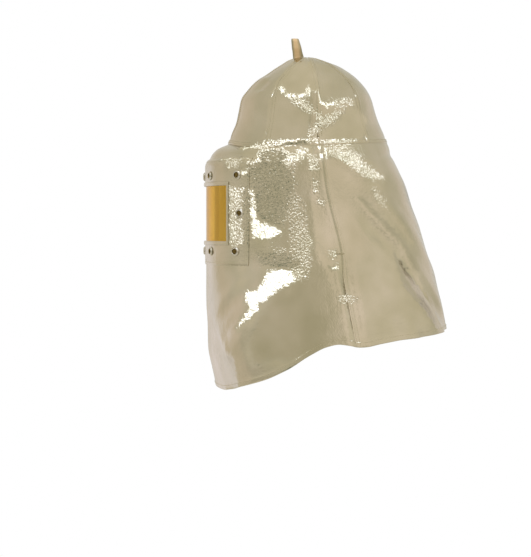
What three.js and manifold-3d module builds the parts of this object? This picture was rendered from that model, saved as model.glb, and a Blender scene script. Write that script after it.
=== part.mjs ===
// Aluminized heat protection hood: a crown of eight gores, a cape to the shoulders and a gold visor.
// Millimetres, +Z up. The wearer faces -Y and has the left hand at +X. The origin is the inside top of
// the crown, where the hood sits on the head. A drop is measured down from the outside of the crown's top.
// An angle is 0 at the front, 90 at the wearer's left, 180 at the back and -90 at the wearer's right.

import * as THREE from 'three';
import Module from 'manifold-3d';
import { mergeVertices } from 'three/addons/utils/BufferGeometryUtils.js';

// Driving dimensions of the cloth
const clothWall = 1.8;
const seamGap = 0.3;
const crownHeight = 139;
const crownGores = 8;
const goreFlatness = 0.3;
const ringFrontReach = 125;
const ringBackReach = 130;
const ringHalfWidth = 105;
const ringSag = 6;
const ringSlope = 0.35;
const ringGap = 0.45;
const capeDrop = 391;
const capeFrontReach = 159.5;
const capeBackReach = 240;
const capeHalfWidth = 198;
const hemHeight = 8;
const hemFold = 0.8;
const foldHeight = 7;
const foldWidth = 30;

// Driving dimensions of the window and its frame
const windowHalfWidth = 126;
const windowHeight = 86;
const windowArc = 157;
const windowTopDrop = 206.5;
const lipHeight = 1.4;
const lipWidth = 6.5;
const lipSideWidth = 4.5;
const visorWall = 1.5;
const visorHold = 8;
const visorClearance = 0.4;
const patchWall = 1.6;
const patchTopBorder = 42;
const patchBottomBorder = 38;
const patchSideBorder = 41;
const cornerAllowance = 24;

// Driving dimensions of the snaps and the loop
const snapDiameter = 14;
const snapSocketDiameter = 8;
const snapHeight = 2.6;
const snapRowSetback = 16;
const loopHeight = 32;
const loopSpread = 13;
const loopWebbingWidth = 15;
const loopWebbingWall = 1.6;
const loopSetForward = 12.5;
const loopLean = 6;
const loopTwist = 3;
const loopTail = 9;

// Fineness of the faceted solids
const goreColumns = 5;
const backColumns = 24;
const sideColumns = 6;
const windowColumns = 6;
const windowRows = 4;
const borderCells = 3;
const snapSides = 12;
const loopSteps = 31;
const weldDistance = 1e-4;

// Steps along a surface for its normal: degrees round, share of the crown's height, millimetres of drop
const angleStep = 0.5;
const stationStep = 0.01;
const dropStep = 1.5;

// Crown sections from the apex to the ring seam: shares of the crown's height and of the ring's reaches.
const crownSections = [
  { at: 0.0, drop: 0.0, front: 0.0, back: 0.0, width: 0.0 },
  { at: 0.07, drop: 0.01, front: 0.11, back: 0.08, width: 0.1 },
  { at: 0.14, drop: 0.036, front: 0.215, back: 0.18, width: 0.21 },
  { at: 0.24, drop: 0.1, front: 0.335, back: 0.39, width: 0.37 },
  { at: 0.32, drop: 0.16, front: 0.44, back: 0.505, width: 0.48 },
  { at: 0.4, drop: 0.23, front: 0.555, back: 0.61, width: 0.59 },
  { at: 0.48, drop: 0.302, front: 0.668, back: 0.69, width: 0.682 },
  { at: 0.56, drop: 0.388, front: 0.756, back: 0.762, width: 0.76 },
  { at: 0.64, drop: 0.489, front: 0.836, back: 0.815, width: 0.826 },
  { at: 0.73, drop: 0.619, front: 0.868, back: 0.854, width: 0.861 },
  { at: 0.82, drop: 0.755, front: 0.9, back: 0.9, width: 0.9 },
  { at: 0.91, drop: 0.878, front: 0.956, back: 0.954, width: 0.955 },
  { at: 1.0, drop: 1.0, front: 1.0, back: 1.0, width: 1.0 },
];

// Cape sections from the ring seam to the front hem: the share of the way from the ring's reach to the
// cape's, and the exponent of the section's outline, where 2 is an ellipse.
const capeSections = [
  { at: 0.0, front: 0.0, back: 0.0, width: 0.0, square: 2.0 },
  { at: 0.021, front: 0.53, back: 0.027, width: 0.06, square: 2.05 },
  { at: 0.046, front: 0.78, back: 0.036, width: 0.13, square: 2.1 },
  { at: 0.069, front: 0.86, back: 0.082, width: 0.165, square: 2.15 },
  { at: 0.121, front: 0.95, back: 0.173, width: 0.2, square: 2.2 },
  { at: 0.17, front: 1.0, back: 0.255, width: 0.22, square: 2.25 },
  { at: 0.244, front: 1.0, back: 0.327, width: 0.25, square: 2.25 },
  { at: 0.342, front: 1.0, back: 0.464, width: 0.31, square: 2.25 },
  { at: 0.44, front: 1.0, back: 0.564, width: 0.4, square: 2.25 },
  { at: 0.54, front: 1.0, back: 0.682, width: 0.51, square: 2.2 },
  { at: 0.638, front: 0.98, back: 0.782, width: 0.65, square: 2.2 },
  { at: 0.761, front: 0.92, back: 0.873, width: 0.83, square: 2.15 },
  { at: 0.835, front: 0.88, back: 0.927, width: 0.92, square: 2.15 },
  { at: 0.91, front: 0.7, back: 0.964, width: 0.975, square: 2.15 },
  { at: 1.0, front: 0.46, back: 1.0, width: 1.0, square: 2.15 },
];

// The ring seam's sag by angle, as a share of ringSag.
const ringLine = [
  { at: 0, sag: 0.1 },
  { at: 30, sag: 1.0 },
  { at: 90, sag: 0.9 },
  { at: 135, sag: 0.1 },
  { at: 180, sag: -0.3 },
];

// The hem's drop below the crown by angle, as a share of capeDrop, alike on both sides.
const hemLine = [
  { at: 0, drop: 0.988 },
  { at: 18, drop: 0.988 },
  { at: 32, drop: 0.978 },
  { at: 41, drop: 0.966 },
  { at: 58, drop: 0.9335 },
  { at: 71, drop: 0.8875 },
  { at: 82, drop: 0.828 },
  { at: 89, drop: 0.799 },
  { at: 95, drop: 0.79 },
  { at: 101, drop: 0.796 },
  { at: 106, drop: 0.8035 },
  { at: 116, drop: 0.7906 },
  { at: 127, drop: 0.778 },
  { at: 144, drop: 0.7675 },
  { at: 180, drop: 0.753 },
];

// The angle of the cape's side seam by its drop, as a share of capeDrop below the crown.
const sideSeamLine = [
  { at: 0.0, angle: 90.5 },
  { at: 0.16, angle: 93 },
  { at: 0.44, angle: 101.5 },
  { at: 1.0, angle: 105 },
];

// Folds of the cape. Each runs from one angle and drop to another, drops as shares of capeDrop below
// the crown. Width and height are shares of foldWidth and foldHeight, and a hollow's height is negative.
// A fold with open 1 runs out at the hem, one with open 0 fades at both ends.
const capeFolds = [
  { from: 104, top: 0.42, to: 105, bottom: 0.83, width: 0.6, height: -0.8, open: 1 },
  { from: 113, top: 0.2, to: 166, bottom: 0.76, width: 0.8, height: -0.65, open: 1 },
  { from: 121, top: 0.12, to: 178, bottom: 0.6, width: 0.9, height: 0.4, open: 0 },
  { from: 128, top: 0.5, to: 134, bottom: 0.82, width: 0.9, height: 0.6, open: 1 },
  { from: 72, top: 0.46, to: 36, bottom: 0.86, width: 1.2, height: 0.8, open: 0 },
  { from: 52, top: 0.5, to: 22, bottom: 0.74, width: 0.7, height: -0.5, open: 0 },
  { from: 8, top: 0.68, to: 35, bottom: 1.0, width: 0.9, height: -0.6, open: 1 },
  { from: 84, top: 0.3, to: 88, bottom: 0.8, width: 1.1, height: 0.7, open: 1 },
  { from: 62, top: 0.7, to: 60, bottom: 0.98, width: 0.9, height: -0.5, open: 1 },
  { from: -104, top: 0.42, to: -106, bottom: 0.83, width: 0.6, height: -0.7, open: 1 },
  { from: -116, top: 0.2, to: -160, bottom: 0.76, width: 0.9, height: -0.6, open: 1 },
  { from: -130, top: 0.46, to: -138, bottom: 0.82, width: 0.9, height: 0.6, open: 1 },
  { from: -68, top: 0.46, to: -40, bottom: 0.88, width: 1.2, height: 0.7, open: 0 },
  { from: -12, top: 0.66, to: -30, bottom: 1.0, width: 0.9, height: -0.5, open: 1 },
  { from: -82, top: 0.3, to: -90, bottom: 0.8, width: 1.1, height: 0.6, open: 1 },
];

// The share of a fold's length over which it rises from the cloth, and fades again
const foldFade = 0.35;

// The window's section, whose exponent is as in the cape's table
const windowSection = { square: 2.3 };

// How far the window's hold on the cloth reaches past its patch: shares of the patch's half angle at
// the sides, and of cornerAllowance above and below.
const windowGrip = {
  sideStart: 0.92,
  sideEnd: 1.35,
  aboveStart: 0.25,
  aboveEnd: 0.5,
  belowStart: 0.5,
  belowEnd: 2,
};

// A snap's half outline from the foot of its rim: the share of the way out from its socket to its rim,
// and of its height. A reach below 0 is inside the socket.
const snapOutline = [
  { reach: 1, height: 0 },
  { reach: 1, height: 0.35 },
  { reach: 0.5, height: 1 },
  { reach: 0, height: 0.8 },
  { reach: -0.2, height: 0.4 },
];

// The crown's own drop where the loop stands, as a share of crownHeight
const loopSeatDrop = 0.007;

// The loop's half outline from its base to its top: shares of loopHeight and of half of loopSpread.
const loopOutline = [
  { height: 0.2, spread: 0.42 },
  { height: 0.5, spread: 0.9 },
  { height: 0.8, spread: 0.86 },
  { height: 0.96, spread: 0.45 },
];

const degrees = THREE.MathUtils.degToRad(1);
const lerp = THREE.MathUtils.lerp;
const smoothstep = THREE.MathUtils.smoothstep;

// A smooth curve through one column of a table, with no swing past its rows.
function along(table, column, at) {
  const last = table.length - 1;
  let i = 0;
  while (i < last - 1 && at > table[i + 1].at) i += 1;
  const slope = (k) => (table[k + 1][column] - table[k][column]) / (table[k + 1].at - table[k].at);
  const tangent = (k) => {
    if (k === 0) return slope(0);
    if (k === last) return slope(last - 1);
    const product = slope(k - 1) * slope(k);
    return product > 0 ? (2 * product) / (slope(k - 1) + slope(k)) : 0;
  };
  const span = table[i + 1].at - table[i].at;
  const t = THREE.MathUtils.clamp((at - table[i].at) / span, 0, 1);
  const [start, end] = [table[i][column], table[i + 1][column]];
  const rise = span * (tangent(i) * t * (1 - t) * (1 - t) - tangent(i + 1) * t * t * (1 - t));
  return lerp(start, end, t * t * (3 - 2 * t)) + rise;
}

// The reach of a rounded outline at an angle, with its own reach to the front and to the back.
function outlineReach(angle, front, back, halfWidth, square) {
  const ahead = Math.cos(angle * degrees);
  const aside = Math.abs(Math.sin(angle * degrees));
  const deep = ahead > 0 ? ahead / front : -ahead / back;
  return 1 / (deep ** square + (aside / halfWidth) ** square) ** (1 / square);
}

function pointAt(angle, reach, drop) {
  const x = reach * Math.sin(angle * degrees);
  const y = -reach * Math.cos(angle * degrees);
  return new THREE.Vector3(x, y, clothWall - drop);
}

function foldedAngle(angle) {
  const turned = THREE.MathUtils.euclideanModulo(angle + 180, 360) - 180;
  return Math.abs(turned);
}

// A line that runs from the front to the back, level where it crosses each of them
function levelEnds(table) {
  const before = { ...table[1], at: -table[1].at };
  const after = { ...table.at(-2), at: 360 - table.at(-2).at };
  return [before, ...table, after];
}

const ringCourse = levelEnds(ringLine);
const hemCourse = levelEnds(hemLine);

function ringDrop(angle) {
  return crownHeight + ringSag * along(ringCourse, 'sag', foldedAngle(angle));
}

function hemDrop(angle) {
  return crownHeight + capeDrop * along(hemCourse, 'drop', foldedAngle(angle));
}

function sideSeamAngle(drop) {
  return along(sideSeamLine, 'angle', (drop - crownHeight) / capeDrop);
}

// Gores are a little flatter between their seams than a round dome.
const leastReach = 0.001;

function crownReach(angle, station) {
  const pick = (column) => Math.max(along(crownSections, column, station), leastReach);
  const front = ringFrontReach * pick('front');
  const back = ringBackReach * pick('back');
  const halfWidth = ringHalfWidth * pick('width');
  const half = 180 / crownGores;
  const offMiddle = Math.abs(THREE.MathUtils.euclideanModulo(angle, 2 * half) - half);
  const flat = Math.cos(half * degrees) / Math.cos(offMiddle * degrees);
  const flatness = goreFlatness * Math.sin(Math.PI * station);
  return outlineReach(angle, front, back, halfWidth, 2) * (1 - flatness * (1 - flat));
}

function crownPoint(angle, station) {
  const drop = ringDrop(angle) * along(crownSections, 'drop', station);
  return pointAt(angle, crownReach(angle, station), drop);
}

// A point on the crown's or the cape's edge at the ring seam. Both walls are cut along one slope there.
function ringEdge(angle, rise, lift) {
  const point = pointAt(angle, crownReach(angle, 1), ringDrop(angle) - rise);
  const outward = new THREE.Vector3(Math.sin(angle * degrees), -Math.cos(angle * degrees), ringSlope);
  return point.addScaledVector(outward.normalize(), lift);
}

// The window's place on the cape
const windowBottomDrop = windowTopDrop + windowHeight;
const patchTopDrop = windowTopDrop - patchTopBorder;
const patchBottomDrop = windowBottomDrop + patchBottomBorder;
const patchHalfArc = windowArc / 2 + patchSideBorder;

function windowReach(angle) {
  return outlineReach(angle, capeFrontReach, capeBackReach, windowHalfWidth, windowSection.square);
}

// The angle at which the window's section has run a given length from the front.
function angleAtArc(arc) {
  const step = 0.25;
  let angle = 0;
  let run = 0;
  while (run < Math.abs(arc)) {
    const here = pointAt(angle, windowReach(angle), 0);
    const next = pointAt(angle + step, windowReach(angle + step), 0);
    const length = here.distanceTo(next);
    angle += step * Math.min(1, (Math.abs(arc) - run) / length);
    run += length;
  }
  return Math.sign(arc) * angle;
}

const patchHalfAngle = angleAtArc(patchHalfArc);

// The stiff window holds the cloth round it to its own section, from 0, loose, to 1, held.
function windowHold(angle, drop) {
  const { sideStart, sideEnd, aboveStart, aboveEnd, belowStart, belowEnd } = windowGrip;
  const beside = smoothstep(foldedAngle(angle), patchHalfAngle * sideStart, patchHalfAngle * sideEnd);
  const aboveEdge = (drop - patchTopDrop) / cornerAllowance;
  const belowEdge = (drop - patchBottomDrop) / cornerAllowance;
  const above = smoothstep(aboveEdge, -aboveStart, aboveEnd);
  const below = 1 - smoothstep(belowEdge, -belowStart, belowEnd);
  return (1 - beside) * above * below;
}

function foldRise(angle, drop, reach) {
  let rise = 0;
  const share = (drop - crownHeight) / capeDrop;
  for (const fold of capeFolds) {
    const t = (share - fold.top) / (fold.bottom - fold.top);
    if (t <= 0 || (t >= 1 && !fold.open)) continue;
    const middle = lerp(fold.from, fold.to, Math.min(t, 1));
    const lean = ((fold.to - fold.from) * degrees * reach) / ((fold.bottom - fold.top) * capeDrop);
    const away = THREE.MathUtils.euclideanModulo(angle - middle + 180, 360) - 180;
    const across = (away * degrees * reach) / Math.hypot(1, lean) / (foldWidth * fold.width);
    if (Math.abs(across) >= 1) continue;
    const fade = smoothstep(t, 0, foldFade) * (fold.open ? 1 : 1 - smoothstep(t, 1 - foldFade, 1));
    rise += foldHeight * fold.height * fade * (1 - across * across) ** 2;
  }
  return rise;
}

function capeReach(angle, drop) {
  const ring = ringDrop(angle);
  const station = THREE.MathUtils.clamp((drop - ring) / (crownHeight + capeDrop - ring), 0, 1);
  const pick = (column) => along(capeSections, column, station);
  const front = lerp(ringFrontReach, capeFrontReach, pick('front'));
  const back = lerp(ringBackReach, capeBackReach, pick('back'));
  const halfWidth = lerp(ringHalfWidth, capeHalfWidth, pick('width'));
  const loose = outlineReach(angle, front, back, halfWidth, pick('square'));
  const hold = windowHold(angle, drop);
  return lerp(loose + foldRise(angle, drop, loose), windowReach(angle), hold);
}

function capePoint(angle, drop) {
  return pointAt(angle, capeReach(angle, drop), drop);
}

// A point lifted off a surface along its outward normal. The surface runs with the angle and downwards.
function lifted(surface, angle, down, downStep, lift) {
  const point = surface(angle, down);
  const round = surface(angle + angleStep, down).sub(surface(angle - angleStep, down));
  const below = surface(angle, down + downStep).sub(surface(angle, down - downStep));
  const normal = below.cross(round).normalize();
  return point.addScaledVector(normal, lift);
}

// A closed wall over a grid of cells. place(i, j, face) gives a corner of the outer face, 0, or of the
// inner face, 1, and covered(i, j) says which cells hold material.
function wall(columns, rows, place, covered = () => true) {
  const positions = [];
  for (const face of [0, 1]) {
    for (let j = 0; j <= rows; j += 1) {
      for (let i = 0; i <= columns; i += 1) positions.push(...place(i, j, face).toArray());
    }
  }
  const inner = (columns + 1) * (rows + 1);
  const corner = (i, j) => j * (columns + 1) + i;
  const filled = (i, j) => i >= 0 && j >= 0 && i < columns && j < rows && covered(i, j);
  const indices = [];
  const rim = (p, q) => indices.push(q, p, p + inner, q, p + inner, q + inner);
  for (let j = 0; j < rows; j += 1) {
    for (let i = 0; i < columns; i += 1) {
      if (!filled(i, j)) continue;
      const [a, b, c, d] = [corner(i, j), corner(i, j + 1), corner(i + 1, j + 1), corner(i + 1, j)];
      indices.push(a, b, c, a, c, d);
      indices.push(c + inner, b + inner, a + inner, d + inner, c + inner, a + inner);
      if (!filled(i - 1, j)) rim(a, b);
      if (!filled(i, j + 1)) rim(b, c);
      if (!filled(i + 1, j)) rim(c, d);
      if (!filled(i, j - 1)) rim(d, a);
    }
  }
  const geometry = new THREE.BufferGeometry();
  geometry.setAttribute('position', new THREE.Float32BufferAttribute(positions, 3));
  geometry.setIndex(indices);
  return tidied(geometry);
}

function tidied(geometry) {
  const bare = new THREE.BufferGeometry();
  bare.setAttribute('position', geometry.getAttribute('position'));
  bare.setIndex(geometry.getIndex());
  const merged = mergeVertices(bare, weldDistance);
  const used = [];
  const renumbered = new Map();
  const index = [...merged.getIndex().array].map((vertex) => {
    if (!renumbered.has(vertex)) {
      renumbered.set(vertex, renumbered.size);
      used.push(merged.attributes.position.getX(vertex));
      used.push(merged.attributes.position.getY(vertex));
      used.push(merged.attributes.position.getZ(vertex));
    }
    return renumbered.get(vertex);
  });
  const clean = new THREE.BufferGeometry();
  clean.setAttribute('position', new THREE.Float32BufferAttribute(used, 3));
  clean.setIndex(index);
  clean.computeVertexNormals();
  return clean;
}

const wasm = await Module();
wasm.setup();

function solidOf(geometry) {
  const triVerts = new Uint32Array(geometry.getIndex().array);
  const vertProperties = new Float32Array(geometry.getAttribute('position').array);
  return new wasm.Manifold(new wasm.Mesh({ numProp: 3, vertProperties, triVerts }));
}

function cutBy(geometry, tool) {
  const mesh = solidOf(geometry).subtract(solidOf(tidied(tool))).getMesh();
  const cut = new THREE.BufferGeometry();
  cut.setAttribute('position', new THREE.Float32BufferAttribute(mesh.vertProperties, 3));
  cut.setIndex([...mesh.triVerts]);
  return tidied(cut);
}

const foil = new THREE.MeshStandardMaterial({ color: 0xb8ae92, roughness: 0.38, metalness: 0.85 });
const goldVisor = new THREE.MeshStandardMaterial({ color: 0xb88a30, roughness: 0.12, metalness: 0.7 });
const nickelBrass = new THREE.MeshStandardMaterial({ color: 0xb9a878, roughness: 0.3, metalness: 1.0 });
const aramidWebbing = new THREE.MeshStandardMaterial({ color: 0xc49f66, roughness: 0.85, metalness: 0.0 });

const hood = new THREE.Group();

function addPiece(name, geometry, material) {
  const mesh = new THREE.Mesh(geometry, material);
  mesh.name = name;
  hood.add(mesh);
  return mesh;
}

// The slot in the front centre seam that the loop's two legs go through
const loopHalfSlot = loopWebbingWall + seamGap / 2 + seamGap;
const loopSlotLength = loopWebbingWidth + loopTwist + 2 * seamGap;
const loopSlotDepth = 8 * clothWall;

function loopSlot() {
  const slot = new THREE.BoxGeometry(2 * loopHalfSlot, loopSlotLength, loopSlotDepth);
  slot.translate(0, -loopSetForward, 0);
  return slot;
}

// Crown gores
const crownStart = 0.002;
const crownRows = crownSections.map((row) => Math.max(row.at, crownStart));

function gore(firstAngle) {
  const turn = 360 / crownGores;
  const place = (i, j, face) => {
    const station = crownRows[j];
    const inset = seamGap / 2 / crownReach(firstAngle, station) / degrees;
    const angle = lerp(firstAngle + inset, firstAngle + turn - inset, i / goreColumns);
    const lift = face ? -clothWall : 0;
    if (station === 1) return ringEdge(angle, ringGap / 2, lift);
    return lifted(crownPoint, angle, station, stationStep, lift);
  };
  return wall(goreColumns, crownRows.length - 1, place);
}

const goreNames = ['front', 'front_side', 'back_side', 'back'];
goreNames.forEach((place, k) => {
  const turn = 360 / crownGores;
  const left = gore(k * turn);
  const right = gore(-(k + 1) * turn);
  addPiece(`crown_gore_${place}_left`, k === 0 ? cutBy(left, loopSlot()) : left, foil);
  addPiece(`crown_gore_${place}_right`, k === 0 ? cutBy(right, loopSlot()) : right, foil);
});

// Columns and rows of the cape. The cloth, the frame, the lip and the visor share the window's columns,
// so their faces stay parallel.
const lipHalfArc = windowArc / 2 + lipSideWidth;
const visorHalfArc = windowArc / 2 + visorHold;
const holeHalfArc = visorHalfArc + visorClearance;
const lipTopDrop = windowTopDrop - lipWidth;
const lipBottomDrop = windowBottomDrop + lipWidth;
const visorTopDrop = windowTopDrop - visorHold;
const visorBottomDrop = windowBottomDrop + visorHold;
const holeTopDrop = visorTopDrop - visorClearance;
const holeBottomDrop = visorBottomDrop + visorClearance;

function evenly(from, to, count) {
  return Array.from({ length: count }, (_, k) => lerp(from, to, (k + 1) / count));
}

function mirrored(halfList) {
  return [...halfList.map((value) => -value).reverse(), 0, ...halfList];
}

const openingArcs = evenly(0, windowArc / 2, windowColumns);
const borderArcs = evenly(holeHalfArc, patchHalfArc, borderCells);
const openingRows = [windowTopDrop, ...evenly(windowTopDrop, windowBottomDrop, windowRows)];

// The cape's rows at an angle, from the ring seam to the hem's lower edge
const bandRows = [
  patchTopDrop,
  ...evenly(patchTopDrop, holeTopDrop, borderCells),
  ...openingRows,
  holeBottomDrop,
  ...evenly(holeBottomDrop, patchBottomDrop, borderCells - 1),
];
const ledgeShares = [0, 0.22, 0.45, 0.7];
const skirtShares = [0.11, 0.24, 0.38, 0.52, 0.66, 0.8];
const foldedShare = 0.94;

function capeRows(angle) {
  const hem = hemDrop(angle);
  const fold = hem - hemHeight;
  const ring = ringDrop(angle) + ringGap / 2;
  return [
    ...ledgeShares.map((share) => lerp(ring, patchTopDrop, share)),
    ...bandRows,
    ...skirtShares.map((share) => lerp(patchBottomDrop, hem, share)),
    lerp(patchBottomDrop, fold, foldedShare),
    fold,
    fold + hemFold,
    hem,
  ];
}

const capeRowCount = capeRows(0).length - 1;
const firstHemRow = capeRowCount - 1;

function capeWall(columns, angleOf, covered) {
  const place = (i, j, face) => {
    const middle = angleOf(i, patchBottomDrop);
    const firstGuess = capeRows(middle)[j];
    const drop = capeRows(angleOf(i, firstGuess))[j];
    const outerLift = j >= firstHemRow ? hemFold : 0;
    const lift = face ? -clothWall : outerLift;
    if (j === 0) return ringEdge(angleOf(i, drop), -ringGap / 2, lift);
    return lifted(capePoint, angleOf(i, drop), drop, dropStep, lift);
  };
  return wall(columns, capeRowCount, place, covered);
}

// Half of the seam's gap, as an angle on the cape's section there
function halfGapAngle(angle, drop) {
  return seamGap / 2 / capeReach(angle, drop) / degrees;
}

const frontArcs = mirrored([...openingArcs, holeHalfArc, ...borderArcs]);
const frontAngles = frontArcs.map(angleAtArc);
const frontColumns = frontAngles.length - 1 + 2 * sideColumns;
const firstHoleColumn = sideColumns + frontArcs.indexOf(-holeHalfArc);
const lastHoleColumn = sideColumns + frontArcs.indexOf(holeHalfArc) - 1;
const firstHoleRow = ledgeShares.length + bandRows.indexOf(holeTopDrop);
const lastHoleRow = ledgeShares.length + bandRows.indexOf(holeBottomDrop) - 1;

function frontAngle(i, drop) {
  if (i > frontColumns / 2) return -frontAngle(frontColumns - i, drop);
  if (i >= sideColumns) return frontAngles[i - sideColumns];
  const seam = sideSeamAngle(drop);
  const edge = halfGapAngle(seam, drop) - seam;
  return lerp(edge, frontAngles[0], i / sideColumns);
}

function backAngle(i, drop) {
  const seam = sideSeamAngle(drop);
  const start = seam + halfGapAngle(seam, drop);
  return lerp(start, 360 - start, i / backColumns);
}

const inHole = (i, j) => i >= firstHoleColumn && i <= lastHoleColumn && j >= firstHoleRow && j <= lastHoleRow;
addPiece('cape_front', capeWall(frontColumns, frontAngle, (i, j) => !inHole(i, j)), foil);
addPiece('cape_back', capeWall(backColumns, backAngle), foil);

// A wall that follows the cape over a list of arcs and drops, with its faces at two lifts
function windowWall(arcs, drops, outerLift, innerLift, covered) {
  const angles = arcs.map(angleAtArc);
  const place = (i, j, face) => lifted(capePoint, angles[i], drops[j], dropStep, face ? innerLift : outerLift);
  return wall(arcs.length - 1, drops.length - 1, place, covered);
}

function openInMiddle(arcs, drops) {
  return (i, j) => {
    const arc = (arcs[i] + arcs[i + 1]) / 2;
    const drop = (drops[j] + drops[j + 1]) / 2;
    const beside = Math.abs(arc) > windowArc / 2;
    return beside || drop < windowTopDrop || drop > windowBottomDrop;
  };
}

// Window frame: a cloth patch on the cape, with the opening in it
const patchInnerLift = seamGap;
const patchOuterLift = patchInnerLift + patchWall;
const patchCover = openInMiddle(frontArcs, bandRows);
addPiece('window_frame', windowWall(frontArcs, bandRows, patchOuterLift, patchInnerLift, patchCover), foil);

// Window lip: the raised binding round the opening
const lipInnerLift = patchOuterLift + seamGap;
const lipOuterLift = lipInnerLift + lipHeight;
const lipDrops = [lipTopDrop, ...openingRows, lipBottomDrop];
const lipArcs = mirrored([...openingArcs, lipHalfArc]);
const lipCover = openInMiddle(lipArcs, lipDrops);
addPiece('window_lip', windowWall(lipArcs, lipDrops, lipOuterLift, lipInnerLift, lipCover), foil);

// Visor: a bent sheet behind the frame, in the cape's own opening
const visorArcs = mirrored([...openingArcs, visorHalfArc]);
const visorDrops = [visorTopDrop, ...openingRows, visorBottomDrop];
addPiece('visor', windowWall(visorArcs, visorDrops, 0, -visorWall), goldVisor);

// Snaps that hold the window frame to the cape: arc from the front, and the row that each is in
const snapTopDrop = windowTopDrop - snapRowSetback;
const snapBottomDrop = windowBottomDrop + snapRowSetback;
const snapMiddleDrop = windowTopDrop + windowHeight / 2;
const snapPlaces = [
  { name: 'top_inner', share: 0.4, drop: snapTopDrop },
  { name: 'top_outer', share: 1.26, drop: snapTopDrop },
  { name: 'middle', share: 1.32, drop: snapMiddleDrop },
  { name: 'bottom_inner', share: 0.44, drop: snapBottomDrop },
  { name: 'bottom_outer', share: 1.22, drop: snapBottomDrop },
];

function snapCap() {
  const outline = [new THREE.Vector2(0, 0)];
  for (const { reach, height } of snapOutline) {
    const across = lerp(snapSocketDiameter, snapDiameter, reach) / 2;
    outline.push(new THREE.Vector2(across, height * snapHeight));
  }
  outline.push(new THREE.Vector2(0, snapOutline.at(-1).height * snapHeight));
  return new THREE.LatheGeometry(outline, snapSides);
}

const snapAxis = new THREE.Vector3(0, 1, 0);
const snapSeatLift = patchOuterLift + seamGap;
for (const [side, hand] of [['left', 1], ['right', -1]]) {
  for (const { name, share, drop } of snapPlaces) {
    const angle = angleAtArc(hand * share * (windowArc / 2));
    const seat = lifted(capePoint, angle, drop, dropStep, snapSeatLift);
    const above = lifted(capePoint, angle, drop, dropStep, snapSeatLift + snapHeight);
    const snap = addPiece(`snap_${name}_${side}`, snapCap(), nickelBrass);
    snap.position.copy(seat);
    snap.quaternion.setFromUnitVectors(snapAxis, above.sub(seat).normalize());
  }
}

// Hanging loop: one strip of webbing, up from the slot, over, and down again
function loopGeometry() {
  const base = (loopWebbingWall + seamGap) / 2;
  const leg = [new THREE.Vector3(base, 0, -loopTail), new THREE.Vector3(base, 0, 0)];
  for (const { height, spread } of loopOutline) {
    leg.push(new THREE.Vector3((spread * loopSpread) / 2, 0, height * (loopHeight - loopWebbingWall / 2)));
  }
  const top = new THREE.Vector3(0, 0, loopHeight - loopWebbingWall / 2);
  const far = leg.map((point) => point.clone().setX(-point.x)).reverse();
  const route = new THREE.CatmullRomCurve3([...leg, top, ...far], false, 'centripetal');
  const place = (i, j, face) => {
    const share = i / loopSteps;
    const point = route.getPointAt(share);
    const tangent = route.getTangentAt(share);
    const outward = new THREE.Vector3(tangent.z, 0, -tangent.x);
    point.addScaledVector(outward, (face ? -0.5 : 0.5) * loopWebbingWall);
    const lean = -loopLean * Math.max(0, point.z / loopHeight);
    const twist = loopTwist * (share - 0.5);
    point.y += (j - 0.5) * loopWebbingWidth + lean + twist;
    return point;
  };
  return wall(loopSteps, 1, place);
}

const loop = addPiece('hanging_loop', loopGeometry(), aramidWebbing);
loop.position.set(0, -loopSetForward, clothWall - loopSeatDrop * crownHeight);

export default hood;
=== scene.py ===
import math

import bpy
import numpy as np
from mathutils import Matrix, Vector


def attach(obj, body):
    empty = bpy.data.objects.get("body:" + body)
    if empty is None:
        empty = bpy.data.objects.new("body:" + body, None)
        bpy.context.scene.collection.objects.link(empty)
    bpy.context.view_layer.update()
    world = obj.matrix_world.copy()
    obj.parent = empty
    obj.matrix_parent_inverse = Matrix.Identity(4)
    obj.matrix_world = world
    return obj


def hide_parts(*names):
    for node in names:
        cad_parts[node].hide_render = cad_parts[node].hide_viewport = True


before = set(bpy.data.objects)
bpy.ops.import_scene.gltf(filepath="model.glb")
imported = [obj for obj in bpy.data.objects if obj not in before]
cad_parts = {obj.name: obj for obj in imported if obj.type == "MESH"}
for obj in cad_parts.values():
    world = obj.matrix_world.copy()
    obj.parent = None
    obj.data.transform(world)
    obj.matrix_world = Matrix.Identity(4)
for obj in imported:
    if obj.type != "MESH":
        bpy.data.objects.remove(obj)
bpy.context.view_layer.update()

# The hood's surfaces are worked out in millimetres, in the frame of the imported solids: +Z up, the wearer
# faces -Y, and the origin is the inside top of the crown. A drop is measured down from the outside of the
# crown's top. An angle is 0 at the front, 90 at the wearer's left, 180 at the back.
MM = 0.001

# Sizes of the cloth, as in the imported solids
CLOTH_WALL = 1.8
SEAM_GAP = 0.3
CROWN_HEIGHT = 139
CROWN_GORES = 8
GORE_FLATNESS = 0.3
RING_FRONT, RING_BACK, RING_HALF_WIDTH = 125, 130, 105
RING_SAG = 6
CAPE_DROP = 391
CAPE_FRONT, CAPE_BACK, CAPE_HALF_WIDTH = 159.5, 240, 198
FOLD_HEIGHT = 7
FOLD_WIDTH = 30

# Sizes of the window, its frame and its binding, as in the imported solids
WINDOW_HALF_WIDTH = 126
WINDOW_SQUARE = 2.3
WINDOW_HEIGHT = 86
WINDOW_ARC = 157
WINDOW_TOP = 206.5
WINDOW_BOTTOM = WINDOW_TOP + WINDOW_HEIGHT
LIP_WIDTH, LIP_SIDE_WIDTH, LIP_HEIGHT = 6.5, 4.5, 1.4
VISOR_WALL, VISOR_HOLD, VISOR_CLEARANCE = 1.5, 8, 0.4
PATCH_WALL = 1.6
PATCH_TOP = WINDOW_TOP - 42
PATCH_BOTTOM = WINDOW_BOTTOM + 38
PATCH_HALF_ARC = WINDOW_ARC / 2 + 41
CORNER_ALLOWANCE = 24
PATCH_LIFT = SEAM_GAP + PATCH_WALL
SNAP_ROW_SETBACK = 16

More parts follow.
